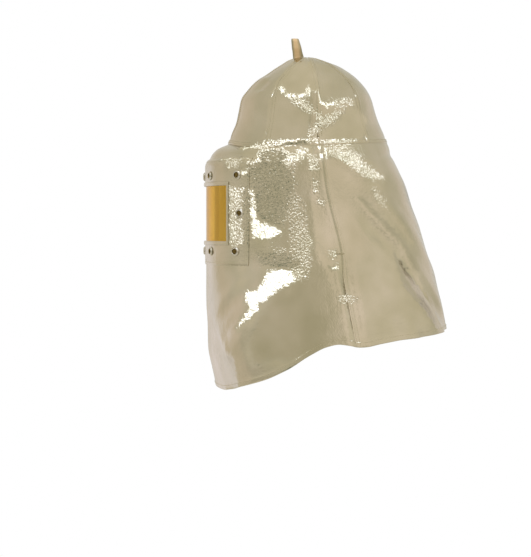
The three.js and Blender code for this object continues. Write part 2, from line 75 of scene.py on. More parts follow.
# Sizes of what only the cloth's own detail shows: the laminate, its seams and its stitches
LAMINATE = 1.2
HEM_HEIGHT = 8
HEM_FOLD = 0.8
SEAM_ALLOWANCE = 8
SEAM_RISE = 0.4
SEAM_GROOVE = 0.6
SEWN_GAP = 0.04
STITCH_PITCH = 3.2
STITCH_LENGTH = 2.3
STITCH_RADIUS = 0.3

# Rows of stitches, by their distance from the seam, the ring seam, the hem's edge and the frame's edge
SEAM_ROWS = (1.8, SEAM_ALLOWANCE - 1.6)
RING_ROWS = (1.6, 5.6)
HEM_ROW = HEM_HEIGHT - 1.4
FRAME_ROW = 4.5


def table(columns, rows):
    """Rows of numbers, as one array to a named column."""
    return {name: np.array([row[k] for row in rows], float) for k, name in enumerate(columns.split())}


CROWN = table("at drop front back width", [
    (0.0, 0.0, 0.0, 0.0, 0.0), (0.07, 0.01, 0.11, 0.08, 0.1), (0.14, 0.036, 0.215, 0.18, 0.21),
    (0.24, 0.1, 0.335, 0.39, 0.37), (0.32, 0.16, 0.44, 0.505, 0.48), (0.4, 0.23, 0.555, 0.61, 0.59),
    (0.48, 0.302, 0.668, 0.69, 0.682), (0.56, 0.388, 0.756, 0.762, 0.76), (0.64, 0.489, 0.836, 0.815, 0.826),
    (0.73, 0.619, 0.868, 0.854, 0.861), (0.82, 0.755, 0.9, 0.9, 0.9), (0.91, 0.878, 0.956, 0.954, 0.955),
    (1.0, 1.0, 1.0, 1.0, 1.0)])
CAPE = table("at front back width square", [
    (0.0, 0.0, 0.0, 0.0, 2.0), (0.021, 0.53, 0.027, 0.06, 2.05), (0.046, 0.78, 0.036, 0.13, 2.1),
    (0.069, 0.86, 0.082, 0.165, 2.15), (0.121, 0.95, 0.173, 0.2, 2.2), (0.17, 1.0, 0.255, 0.22, 2.25),
    (0.244, 1.0, 0.327, 0.25, 2.25), (0.342, 1.0, 0.464, 0.31, 2.25), (0.44, 1.0, 0.564, 0.4, 2.25),
    (0.54, 1.0, 0.682, 0.51, 2.2), (0.638, 0.98, 0.782, 0.65, 2.2), (0.761, 0.92, 0.873, 0.83, 2.15),
    (0.835, 0.88, 0.927, 0.92, 2.15), (0.91, 0.7, 0.964, 0.975, 2.15), (1.0, 0.46, 1.0, 1.0, 2.15)])
RING_LINE = table("at sag", [
    (-30, 1.0), (0, 0.1), (30, 1.0), (90, 0.9), (135, 0.1), (180, -0.3), (225, 0.1)])
HEM_LINE = table("at drop", [
    (-18, 0.988), (0, 0.988), (18, 0.988), (32, 0.978), (41, 0.966), (58, 0.9335), (71, 0.8875), (82, 0.828),
    (89, 0.799), (95, 0.79), (101, 0.796), (106, 0.8035), (116, 0.7906), (127, 0.778), (144, 0.7675),
    (180, 0.753), (216, 0.7675)])
SIDE_SEAM = table("at angle", [(0.0, 90.5), (0.16, 93), (0.44, 101.5), (1.0, 105)])

# Folds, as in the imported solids. Each runs from one angle and drop to another, drops as shares of the
# cape's drop. Width and height are shares of FOLD_WIDTH and FOLD_HEIGHT, and a hollow's height is
# negative. A fold with open 1 runs out at the hem.
FOLDS = [dict(zip("from top to bottom width height open".split(), row)) for row in [
    (104, 0.42, 105, 0.83, 0.6, -0.8, 1), (113, 0.2, 166, 0.76, 0.8, -0.65, 1),
    (121, 0.12, 178, 0.6, 0.9, 0.4, 0), (128, 0.5, 134, 0.82, 0.9, 0.6, 1),
    (72, 0.46, 36, 0.86, 1.2, 0.8, 0), (52, 0.5, 22, 0.74, 0.7, -0.5, 0),
    (8, 0.68, 35, 1.0, 0.9, -0.6, 1), (84, 0.3, 88, 0.8, 1.1, 0.7, 1),
    (62, 0.7, 60, 0.98, 0.9, -0.5, 1), (-104, 0.42, -106, 0.83, 0.6, -0.7, 1),
    (-116, 0.2, -160, 0.76, 0.9, -0.6, 1), (-130, 0.46, -138, 0.82, 0.9, 0.6, 1),
    (-68, 0.46, -40, 0.88, 1.2, 0.7, 0), (-12, 0.66, -30, 1.0, 0.9, -0.5, 1),
    (-82, 0.3, -90, 0.8, 1.1, 0.6, 1)]]


# Flats: stiff foil cloth breaks into flats between its creases, and each mirrors one part of the room. A
# flat has the way it faces (an angle, and a tilt upwards in degrees), how far it gets there and how much of
# it is crushed, both from 0 to 1, the softness of its edge in millimetres, and its outline as angles and drops.
FLATS = [dict(zip("turn tilt share crushed soft outline".split(), row)) for row in [
    # Crown, left: dome panels above the two creases that meet in a V, and wall panels under them
    (59, 43, 0.8, 0.0, 6, [(44, 25), (73, 12), (79, 55), (73, 66), (66, 62), (58, 54)]),
    (117, 45, 0.7, 0.0, 6, [(94, 12), (150, 38), (131, 70), (117, 74), (100, 84), (93, 78)]),
    (88, 44, 0.8, 0.0, 2, [(84, 10), (93, 10), (92, 58), (85, 58)]),
    (88, 8, 0.9, 0.0, 3, [(84, 62), (92, 62), (93, 90), (85, 82)]),
    (54, 9, 0.9, 0.0, 5, [(50, 56), (61, 72), (75, 84), (84, 94), (81, 136), (45, 136), (43, 75)]),
    (118, 9, 0.9, 0.0, 5, [(97, 106), (112, 92), (132, 82), (146, 100), (131, 134), (90, 135), (85, 131)]),
    (88, 11, 0.9, 0.0, 4, [(86, 90), (94, 100), (84, 128), (83, 106)]),
    (73, 27, 0.9, 0.95, 3, [(64, 71), (70, 70), (77, 77), (84, 83), (85, 90), (77, 87), (70, 79)]),
    (103, 29, 0.9, 0.7, 3, [(87, 90), (94, 96), (96, 104), (90, 101)]),
    (103, 29, 0.95, 0.9, 3, [(119, 88), (104, 100), (94, 105), (87, 119), (82, 132), (86, 131), (92, 117), (106, 106),
                             (116, 94)]),
    (103, 29, 0.8, 0.9, 3, [(112, 79), (128, 74), (130, 78), (114, 82)]),
    (40, 2, 0.6, 0.2, 2, [(26, 60), (31, 58), (33, 130), (28, 132)]),
    (36, -3, 0.6, 0.2, 2, [(37, 70), (41, 68), (43, 132), (39, 133)]),
    # Ring seam, left
    (73, 27, 1.0, 0.5, 2, [(25, 147), (39, 142), (61, 136.5), (62, 143), (43, 149), (28, 151)]),
    (103, 29, 0.9, 0.5, 0.8, [(81, 142), (126, 137), (126, 138.5), (81, 144)]),
    (71, -6, 1.0, 0.3, 1.2, [(62, 141), (80, 136), (80, 141.5), (62, 146)]),
    # Cape, left: the ledge under the ring, and the fold that runs from it behind the side seam
    (73, 27, 0.95, 0.6, 3, [(57, 186), (63, 175), (69, 163), (74, 152), (82, 151), (76, 163), (70, 177), (63, 188)]),
    (98, 12, 0.8, 0.0, 4, [(84, 146), (95, 150), (96, 158), (86, 160)]),
    (103, 29, 0.95, 0.6, 3.5, [(97, 152), (111, 153), (119, 162), (127, 177), (138, 192), (137, 197), (124, 197),
                                (117, 184), (108, 168), (99, 157)]),
    (103, 29, 0.7, 0.9, 4, [(128, 213), (134, 224), (136, 242), (133, 244), (128, 225)]),
    # Cape, left: the dark flat beside the window, and the bright ones beside and under it
    (71, -6, 1.0, 0.9, 6, [(47, 168), (61, 168), (69, 186), (70, 214), (66, 252), (62, 267),
                           (51, 258), (47, 236), (47, 198)]),
    (71, -6, 0.8, 0.6, 4, [(43, 152), (61, 150), (67, 160), (61, 168), (47, 168)]),
    (71, -6, 0.8, 0.7, 6, [(48, 308), (70, 312), (77, 326), (74, 334), (60, 332), (50, 326)]),
    (73, 27, 0.95, 0.55, 2, [(43.7, 213), (46.2, 213), (47.9, 237), (47.6, 250), (44.4, 262), (43.7, 236)]),
    (73, 27, 1.0, 0.25, 4, [(45, 287), (44, 253), (47, 249), (51, 262), (57, 267), (63, 273), (64, 279),
                            (58, 289), (51, 291)]),
    (73, 27, 1.0, 0.15, 5, [(57, 337), (67, 336), (77, 340), (75, 354), (68, 361), (64, 370), (59, 381), (56, 387),
                            (56, 399), (51, 412), (43, 430), (41, 426), (46, 404), (49, 392), (45, 382), (44, 367),
                            (53, 366), (55, 351)]),
    (73, 27, 0.9, 0.6, 3, [(93, 330), (99, 328), (99, 336), (94, 336)]),
    (81, 9, 0.8, 0.0, 10, [(58, 400), (72, 375), (86, 310), (94, 340), (98, 380), (101, 450), (78, 462),
                           (52, 485), (48, 445)]),
    (114, 8, 0.7, 0.0, 12, [(106, 330), (125, 300), (145, 300), (150, 430), (106, 450)]),
    # Window frame, left
    (73, 27, 0.9, 0.75, 3, [(30, 206), (40.5, 210), (39.5, 228), (39, 267), (41, 289), (37, 300), (31, 303),
                            (30, 266)]),
    (73, 27, 0.9, 0.5, 2, [(36, 192), (40, 182), (43, 178), (44, 182), (40, 193)]),
    (73, 27, 0.8, 0.6, 1.5, [(20, 164), (44, 164), (44, 168), (20, 168)]),
    (73, 27, 0.85, 1.0, 2, [(26, 165), (35, 165), (37, 180), (28, 180)]),
    # Cape, left: folds of the back panel
    (96, 12, 0.6, 0.3, 3, [(113, 228), (116, 228), (130, 262), (142, 298), (148, 340), (156, 424), (152, 424),
                           (144, 340), (138, 298), (127, 264)]),
    (128, -6, 0.7, 0.0, 3, [(117, 226), (120, 226), (134, 262), (145, 298), (150, 340), (147, 340), (141, 298),
                            (130, 264)]),
    (98, 14, 0.6, 0.3, 3, [(131, 236), (134, 236), (144, 267), (150, 298), (147, 300), (140, 269)]),
    (150, 6, 0.9, 0.1, 3, [(136, 314), (140, 324), (149, 377), (158, 420), (167, 434), (152, 434), (142, 392),
                           (135, 360)]),
    (120, -6, 0.4, 0.0, 3, [(134, 304), (137, 306), (138, 337), (143, 384), (141, 386), (134, 344)]),
    (73, 27, 0.18, 1.0, 8, [(72, 226), (76, 240), (79, 323), (77, 343), (74, 300)]),
    (73, 27, 0.9, 0.9, 2, [(98, 378), (102, 375), (107, 380), (104, 385), (98, 383)]),
    (73, 27, 0.8, 0.8, 1.5, [(95, 307), (98, 307), (98, 316), (95, 316)]),
    (73, 27, 0.8, 1.0, 3, [(83, 165), (87, 168), (88, 183), (83, 180)]),
    (73, 27, 0.7, 1.0, 2.5, [(85, 198), (87, 198), (88, 217), (85, 217)]),
    (73, 27, 0.5, 0.9, 1.5, [(87.5, 229), (93, 232), (92, 236), (88, 234)]),
    # Cape, low at the front
    (12, -7, 0.9, 0.0, 6, [(-26, 372), (11, 413), (26, 453), (40, 474), (39, 512), (2, 534), (-8, 470)]),
    # Right side and back, loosely the same
    (-70, 43, 0.7, 0.0, 5, [(-40, 25), (-78, 12), (-82, 70), (-66, 76), (-52, 52)]),
    (-66, 10, 0.8, 0.0, 5, [(-50, 60), (-64, 74), (-84, 80), (-81, 134), (-47, 134)]),
    (-110, 12, 0.8, 0.0, 5, [(-95, 90), (-128, 78), (-140, 100), (-130, 134), (-92, 134)]),
    (-60, 26, 0.9, 0.2, 4, [(-50, 300), (-66, 292), (-76, 318), (-70, 345), (-58, 372), (-47, 415), (-42, 410),
                            (-50, 360)]),
    (-108, 30, 0.9, 0.4, 4, [(-98, 153), (-112, 154), (-128, 178), (-141, 202), (-126, 204), (-110, 176)]),
    (-72, 4, 0.8, 0.4, 5, [(-48, 172), (-66, 170), (-72, 214), (-64, 262), (-48, 240)]),
    (170, 24, 0.8, 0.3, 4, [(160, 210), (176, 190), (188, 230), (182, 300), (168, 280)]),
    (-165, 10, 0.8, 0.0, 8, [(-172, 300), (-150, 290), (-142, 380), (-158, 420), (-176, 390)]),
]]

# Creases: the line that each follows, as angles and drops, its half width and its height in millimetres.
# A hollow's height is negative.
CREASES = [dict(zip("line width height".split(), row)) for row in [
    ([(57.7, 20.5), (58.1, 48.8), (53.2, 73.1), (49.3, 91.5)], 5, -0.6),
    ([(24, 40), (22, 58)], 11, -2.2),
    ([(-30, 42), (0, 37), (28, 40)], 7, 2.0),
    ([(61.6, 56.9), (73.5, 82.0), (84.7, 100.9), (93.8, 113.9)], 4, 0.7),
    ([(114.8, 89.7), (96.9, 111.2), (84.0, 132.3), (79.1, 138)], 4, 0.7),
    ([(128.1, 78.2), (118.6, 81.5), (110, 86)], 4, 0.4),
    ([(79.8, 148.9), (68.2, 172.0), (55.6, 198.3)], 6, 1.2),
    ([(83.3, 200), (83.3, 236.5), (85.4, 290.4), (86.1, 335.9)], 7, 0.8),
    ([(96.9, 318), (99.4, 359.0), (101.1, 388.8), (102.9, 419.1), (103.9, 446)], 6, 1.6),
    ([(104.2, 328.2), (105.9, 381.5), (106, 426.0), (104.8, 452)], 7, -1.8),
    ([(-10, 398), (11.9, 428.2), (30.8, 451.7), (36.0, 497.2)], 9, 1.2),
    ([(106.4, 360.7), (114.4, 360.4)], 2.5, -0.5),
    ([(95, 154), (104, 166), (114, 184), (128, 200)], 7, 1.2),
    ([(114.8, 225), (129.1, 262.8), (140.7, 298.4), (146.6, 340.5), (147, 384.3), (154.0, 432)], 7, 1.0),
    ([(131.9, 236.4), (141.4, 267.5), (147.7, 298.2)], 6, -0.9),
    ([(31.8, 345), (40, 322), (46, 300)], 5, 0.7),
    ([(-60, 60), (-76, 92), (-90, 112)], 5, 0.9),
    ([(-80, 150), (-66, 176), (-54, 204)], 6, 1.4),
    ([(-98, 320), (-101, 380), (-104, 445)], 6, 1.8),
    ([(-116, 230), (-134, 300), (-146, 380), (-152, 430)], 7, 1.4),
    ([(168, 200), (174, 280), (170, 380)], 8, 1.2),
]]


def smoothstep(value, low, high):
    """0 up to low, 1 from high on, and a smooth rise between them."""
    t = np.clip((value - low) / (high - low), 0, 1)
    return t * t * (3 - 2 * t)


def run_along(line):
    """The way along a line to each of its points."""
    return np.concatenate([[0], np.cumsum(np.linalg.norm(np.diff(line, axis=0), axis=1))])


def towards(angle, rise):
    """A direction from the hood: its angle, as above, and its height over the horizon, in degrees."""
    turned, raised = math.radians(angle), math.radians(rise)
    return math.sin(turned) * math.cos(raised), -math.cos(turned) * math.cos(raised), math.sin(raised)


def along(rows, column, at):
    """A smooth curve through one column of a table, with no swing past its rows."""
    x, y = rows["at"], rows[column]
    at = np.clip(at, x[0], x[-1])
    i = np.clip(np.searchsorted(x, at) - 1, 0, len(x) - 2)
    span = np.diff(x)
    slope = np.diff(y) / span
    product = slope[:-1] * slope[1:]
    mean = np.where(product > 0, 2 * product / np.where(product > 0, slope[:-1] + slope[1:], 1), 0)
    tangent = np.concatenate([slope[:1], mean, slope[-1:]])
    t = (at - x[i]) / span[i]
    rise = span[i] * (tangent[i] * t * (1 - t) ** 2 - tangent[i + 1] * t * t * (1 - t))
    return y[i] + (y[i + 1] - y[i]) * t * t * (3 - 2 * t) + rise


def outline_reach(angle, front, back, half_width, square):
    ahead, aside = np.cos(np.radians(angle)), np.abs(np.sin(np.radians(angle)))
    deep = np.where(ahead > 0, ahead / front, -ahead / back)
    return 1 / (deep ** square + (aside / half_width) ** square) ** (1 / square)


def point_at(angle, reach, drop):
    turned = np.radians(angle)
    return np.stack([reach * np.sin(turned), -reach * np.cos(turned), CLOTH_WALL - drop + 0 * turned], -1)


def folded(angle):
    return np.abs((angle + 180) % 360 - 180)


def ring_drop(angle):
    return CROWN_HEIGHT + RING_SAG * along(RING_LINE, "sag", folded(angle))


def hem_drop(angle):
    return CROWN_HEIGHT + CAPE_DROP * along(HEM_LINE, "drop", folded(angle))


def side_seam(drop):
    return along(SIDE_SEAM, "angle", (drop - CROWN_HEIGHT) / CAPE_DROP)


def crown_reach(angle, station):
    front, back, width = (np.maximum(along(CROWN, name, station), 0.001) for name in ("front", "back", "width"))
    half = 180 / CROWN_GORES
    off_middle = np.abs(angle % (2 * half) - half)
    flat = math.cos(math.radians(half)) / np.cos(np.radians(off_middle))
    flatness = GORE_FLATNESS * np.sin(math.pi * station)
    reach = outline_reach(angle, RING_FRONT * front, RING_BACK * back, RING_HALF_WIDTH * width, 2)
    return reach * (1 - flatness * (1 - flat))


def crown_point(angle, station):
    return point_at(angle, crown_reach(angle, station), ring_drop(angle) * along(CROWN, "drop", station))


def window_reach(angle):
    return outline_reach(angle, CAPE_FRONT, CAPE_BACK, WINDOW_HALF_WIDTH, WINDOW_SQUARE)


# Angles by their arc from the front, along the window's section
_turns = np.linspace(0, 90, 721)
_section = point_at(_turns, window_reach(_turns), 0)
_runs = run_along(_section)


def angle_at_arc(arc):
    return np.sign(arc) * np.interp(np.abs(arc), _runs, _turns)


PATCH_HALF_ANGLE = float(angle_at_arc(PATCH_HALF_ARC))


def window_hold(angle, drop):
    """How far the stiff window holds the cloth to its own section, from 0, loose, to 1, held."""
    beside = smoothstep(folded(angle), PATCH_HALF_ANGLE * 0.92, PATCH_HALF_ANGLE * 1.35)
    above = smoothstep((drop - PATCH_TOP) / CORNER_ALLOWANCE, -0.25, 0.5)
    below = 1 - smoothstep((drop - PATCH_BOTTOM) / CORNER_ALLOWANCE, -0.5, 2)
    return (1 - beside) * above * below


def fold_rise(folds, angle, drop, reach):
    rise = np.zeros_like(angle + drop)
    share = (drop - CROWN_HEIGHT) / CAPE_DROP
    for fold in folds:
        t = (share - fold["top"]) / (fold["bottom"] - fold["top"])
        middle = fold["from"] + (fold["to"] - fold["from"]) * np.clip(t, 0, 1)
        lean = np.radians(fold["to"] - fold["from"]) * reach / ((fold["bottom"] - fold["top"]) * CAPE_DROP)
        away = (angle - middle + 180) % 360 - 180
        across = np.radians(away) * reach / np.hypot(1, lean) / (FOLD_WIDTH * fold["width"])
        fade = smoothstep(t, 0, 0.35) * (1 if fold["open"] else 1 - smoothstep(t, 0.65, 1))
        rise += FOLD_HEIGHT * fold["height"] * fade * np.clip(1 - across * across, 0, 1) ** 2
    return rise


def cape_reach(angle, drop):
    ring = ring_drop(angle)
    station = np.clip((drop - ring) / (CROWN_HEIGHT + CAPE_DROP - ring), 0, 1)
    front, back, width = (along(CAPE, name, station) for name in ("front", "back", "width"))
    loose = outline_reach(
        angle, RING_FRONT + (CAPE_FRONT - RING_FRONT) * front, RING_BACK + (CAPE_BACK - RING_BACK) * back,
        RING_HALF_WIDTH + (CAPE_HALF_WIDTH - RING_HALF_WIDTH) * width, along(CAPE, "square", station))
    loose = loose + fold_rise(FOLDS, angle, drop, loose)
    hold = window_hold(angle, drop)
    return loose + (window_reach(angle) - loose) * hold


def cape_point(angle, drop):
    return point_at(angle, cape_reach(angle, drop), drop)


def unit(vectors):
    return vectors / np.maximum(np.linalg.norm(vectors, axis=-1, keepdims=True), 1e-9)


def outward(surface, angle, down, step):
    """The surface's outward normal. The surface runs with the angle and downwards."""
    around = surface(angle + 0.5, down) - surface(angle - 0.5, down)
    below = surface(angle, down + step) - surface(angle, down - step)
    return unit(np.cross(below, around))


def cape_normal(angle, drop):
    return outward(cape_point, angle, drop, 1.5)


def surface_at(angle, drop):
    """A point of the crown or of the cape, by its angle and drop."""
    angle, drop = np.array(float(angle)), np.array(float(drop))
    ring = ring_drop(angle)
    if drop >= ring:
        return cape_point(angle, drop)
    stations = np.linspace(0, 1, 400)
    return crown_point(angle, np.interp(drop / ring, along(CROWN, "drop", stations), stations))


def creased(points):
    """Rise of the cloth's creases at points of its surface."""
    rise = np.zeros(points.shape[:-1])
    for crease in CREASES:
        line = np.array([surface_at(*place) for place in crease["line"]])
        run = run_along(line)
        nearest, where = np.full(rise.shape, 1e9), np.zeros(rise.shape)
        for k, (start, end) in enumerate(zip(line[:-1], line[1:])):
            way = end - start
            t = np.clip(((points - start) @ way) / (way @ way), 0, 1)
            away = np.linalg.norm(points - start - t[..., None] * way, axis=-1)
            closer = away < nearest
            nearest = np.where(closer, away, nearest)
            where = np.where(closer, (run[k] + t * (run[k + 1] - run[k])) / run[-1], where)
        fade = smoothstep(where, 0, 0.2) * (1 - smoothstep(where, 0.8, 1))
        rise += crease["height"] * fade * np.exp(-((nearest / crease["width"]) ** 2))
    return rise


FLAT_SCALE = 2.4  # millimetres to a degree of angle, for outlines on the cloth


def outside_by(outline, angle, drop):
    """How far, in millimetres, places on the cloth lie outside an outline. Inside, it is negative."""
    middle = outline[:, 0].mean()
    x, y = ((angle - middle + 180) % 360 - 180) * FLAT_SCALE, drop
    corners = np.stack([(outline[:, 0] - middle) * FLAT_SCALE, outline[:, 1]], -1)
    nearest, crossings = np.full(np.shape(x + y), 1e9), np.zeros(np.shape(x + y), int)
    for (x0, y0), (x1, y1) in zip(corners, np.roll(corners, -1, axis=0)):
        t = np.clip(((x - x0) * (x1 - x0) + (y - y0) * (y1 - y0)) / ((x1 - x0) ** 2 + (y1 - y0) ** 2), 0, 1)
        nearest = np.minimum(nearest, np.hypot(x - x0 - t * (x1 - x0), y - y0 - t * (y1 - y0)))
        passed = (y0 > y) != (y1 > y)
        crossings += passed & (x < x0 + (y - y0) * (x1 - x0) / np.where(passed, y1 - y0, 1))
    return np.where(crossings % 2 == 1, -nearest, nearest)


def facing_flats(points, normals, angle, drop):
    """The normals that the cloth is shaded with, its surface's own turned to each flat's, and how crushed the
    foil is there."""
    ragged = 6 * noise(points, 5.5, 6.1) + 5 * noise(points, 2.9, 1.4)
    crushed = np.zeros(np.shape(drop))
    for flat in FLATS:
        away = outside_by(np.array(flat["outline"], float), angle, drop)
        away = away + ragged * min(1.0, flat["soft"] / 3)
        share = flat["share"] * (1 - smoothstep(away, -flat["soft"], flat["soft"]))
        share = (share * (1 - 0.4 * flat["crushed"] * smoothstep(ragged, -0.5, 1.5)))[..., None]
        near = 1 - smoothstep(away, flat["soft"], flat["soft"] + 5)
        crushed = crushed + (flat["crushed"] - crushed) * near
        normals = normals + (np.array(towards(flat["turn"], flat["tilt"])) - normals) * share
    return unit(normals), crushed


def grid_normals(points):
    """Normals of a grid of points that runs with the angle and downwards."""
    return unit(np.cross(np.gradient(points, axis=0), np.gradient(points, axis=1)))


# Rumpled cloth: smooth noise, worked out from a seeded table of directions
_dice = np.random.default_rng(7)
_order = _dice.permutation(256)
_directions = unit(_dice.normal(size=(256, 3)))


def noise(points, size, shift=0.0):
    """Smooth noise from about -0.7 to 0.7, whose lumps are about size millimetres across."""
    p = points / size + shift
    cell = np.floor(p).astype(int)
    f = p - cell
    blend = f * f * f * (f * (f * 6 - 15) + 10)
    total = 0
    for corner in np.ndindex(2, 2, 2):
        at = cell + corner
        pick = _order[(_order[(_order[at[..., 0] & 255] + at[..., 1]) & 255] + at[..., 2]) & 255]
        lean = (_directions[pick] * (f - corner)).sum(-1)
        weight = np.prod(np.where(np.array(corner) == 1, blend, 1 - blend), axis=-1)
        total = total + weight * lean
    return total


def creases(points, size, shift):
    """Flat facets between creases, as a stiff laminate rumples: 0 in a crease, about 0.5 between them."""
    warp = np.stack([noise(points, size * 1.7, shift + k) for k in (3.1, 5.7, 9.2)], -1)
    return np.abs(noise(points + 0.35 * size * warp, size, shift)) * 1.6


def rumple(points, depth):
    """The cloth's small unevenness, in millimetres, for a depth of 1 at its fullest."""
    tall = points * np.array([1, 1, 0.55])
    large = creases(tall, 62, 1.3) - 0.4
    middle = creases(tall, 27, 4.9) - 0.4
    small = noise(points, 9, 8.8)
    return depth * (1.5 * large + 0.6 * middle + 0.16 * small)


# Meshes
def placed(name, data):
    """An object in the scene."""
    made = bpy.data.objects.new(name, data)
    bpy.context.scene.collection.objects.link(made)
    return made


def mesh_object(name, points, faces, materials, face_slots=None, uv=None, normals=None, crushed=None):
    """A smooth-shaded object from points in millimetres. uv holds a pair of millimetres for each point, and
    normals a direction for each corner of each face."""
    mesh = bpy.data.meshes.new(name)
    mesh.from_pydata((np.asarray(points, float) * MM).tolist(), [], np.asarray(faces).tolist())
    for material in materials:
        mesh.materials.append(material)
    if face_slots is not None:
        mesh.polygons.foreach_set("material_index", np.asarray(face_slots, np.int32))
    if uv is not None:
        corner = np.zeros(len(mesh.loops), np.int32)
        mesh.loops.foreach_get("vertex_index", corner)
        layer = mesh.uv_layers.new(name="surface")
        layer.data.foreach_set("uv", (np.asarray(uv, float)[corner] * MM).astype(np.float32).ravel())
    mesh.polygons.foreach_set("use_smooth", np.ones(len(mesh.polygons), bool))
    mesh.update()
    if normals is not None:
        mesh.normals_split_custom_set(normals.reshape(-1, 3).tolist())
        mesh.attributes.new("crushed", "FLOAT", "POINT").data.foreach_set("value", crushed.astype(np.float32))
    made = placed(name, mesh)
    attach(made, "root")
    return made


def shell(name, outer, inner, materials, uv, covered=None, places=None):
    """A closed sheet between two grids of points. materials: outside, inside. places, the angles and drops of
    the grid, gives the outside the cloth's flats."""
    rows, columns = outer.shape[:2]
    filled = np.ones((rows - 1, columns - 1), bool) if covered is None else covered
    corner = np.arange(rows * columns).reshape(rows, columns)
    a, b, c, d = corner[:-1, :-1], corner[1:, :-1], corner[1:, 1:], corner[:-1, 1:]
    under = rows * columns
    outside = np.stack([a, b, c, d], -1)[filled]
    inside = outside[:, ::-1] + under
    rim = []
    wide = np.pad(filled, 1)
    sides = [(a, b, wide[1:-1, :-2]), (b, c, wide[2:, 1:-1]), (c, d, wide[1:-1, 2:]), (d, a, wide[:-2, 1:-1])]
    for p, q, beside in sides:
        edge = filled & ~beside
        rim.append(np.stack([q[edge], p[edge], p[edge] + under, q[edge] + under], -1))
    rim = np.concatenate(rim)
    points = np.concatenate([outer.reshape(-1, 3), inner.reshape(-1, 3)])
    faces = np.concatenate([outside, inside, rim])
    slots = np.repeat([0, 1, 0], [len(outside), len(inside), len(rim)])
    used, faces = np.unique(faces, return_inverse=True)
    faces = faces.reshape(-1, 4)
    flat = np.concatenate([uv.reshape(-1, 2)] * 2)
    normals = crushed = None
    if places is not None:
        facing, crushed = facing_flats(outer, grid_normals(outer), *places)
        normals = np.concatenate([facing.reshape(-1, 3), -grid_normals(inner).reshape(-1, 3)])[used][faces]
        wall = points[used][faces[-len(rim):]]
        normals[-len(rim):] = unit(np.cross(wall[:, 2] - wall[:, 0], wall[:, 3] - wall[:, 1]))[:, None]
        crushed = np.concatenate([crushed.ravel(), np.zeros(crushed.size)])[used]
    return mesh_object(name, points[used], faces, materials, slots, flat[used], normals, crushed)


def turns_of(sides):
    """The angles of a ring's points."""
    return np.arange(sides) * 2 * math.pi / sides


def tube_faces(rings, sides):
    """The faces between rings of points, one after the other."""
    return [(k * sides + s, k * sides + (s + 1) % sides, (k + 1) * sides + (s + 1) % sides, (k + 1) * sides + s)
            for k in range(rings - 1) for s in range(sides)]


def nearest_to(values, axis=None):
    """Where values come nearest to zero."""
    return np.argmin(np.abs(values), axis=axis)


def evenly(start, end, count):
    """Even steps from start to end, without the start itself."""
    return list(np.linspace(start, end, count + 1)[1:])


def mirrored(half):
    return np.array([-value for value in reversed(half)] + [0] + list(half))


# Materials
def srgb(text):
    """Linear colour from an sRGB hex value."""
    parts = [int(text[k:k + 2], 16) / 255 for k in (1, 3, 5)]
    return [c / 12.92 if c <= 0.04045 else ((c + 0.055) / 1.055) ** 2.4 for c in parts] + [1.0]


def add_node(tree, kind, links=(), **settings):
    """One node. Settings name its properties or, as inputs, its sockets; stops are (place, hex colour) pairs of
    its colour ramp; links give (socket, from socket)."""
    node = tree.nodes.new(kind)
    inputs = settings.pop("inputs", {})
    for k, (at, colour) in enumerate(settings.pop("stops", ())):
        stop = node.color_ramp.elements[k] if k < 2 else node.color_ramp.elements.new(at)
        stop.position, stop.color = at, srgb(colour)
    for name, value in settings.items():
        setattr(node, name, value)
    for name, value in inputs.items():
        node.inputs[name].default_value = value
    for name, source in links:
        tree.links.new(source, node.inputs[name])
    return node


def new_material(name):
    material = bpy.data.materials.new(name)
    material.use_nodes = True
    material.node_tree.nodes.clear()
    return material, material.node_tree


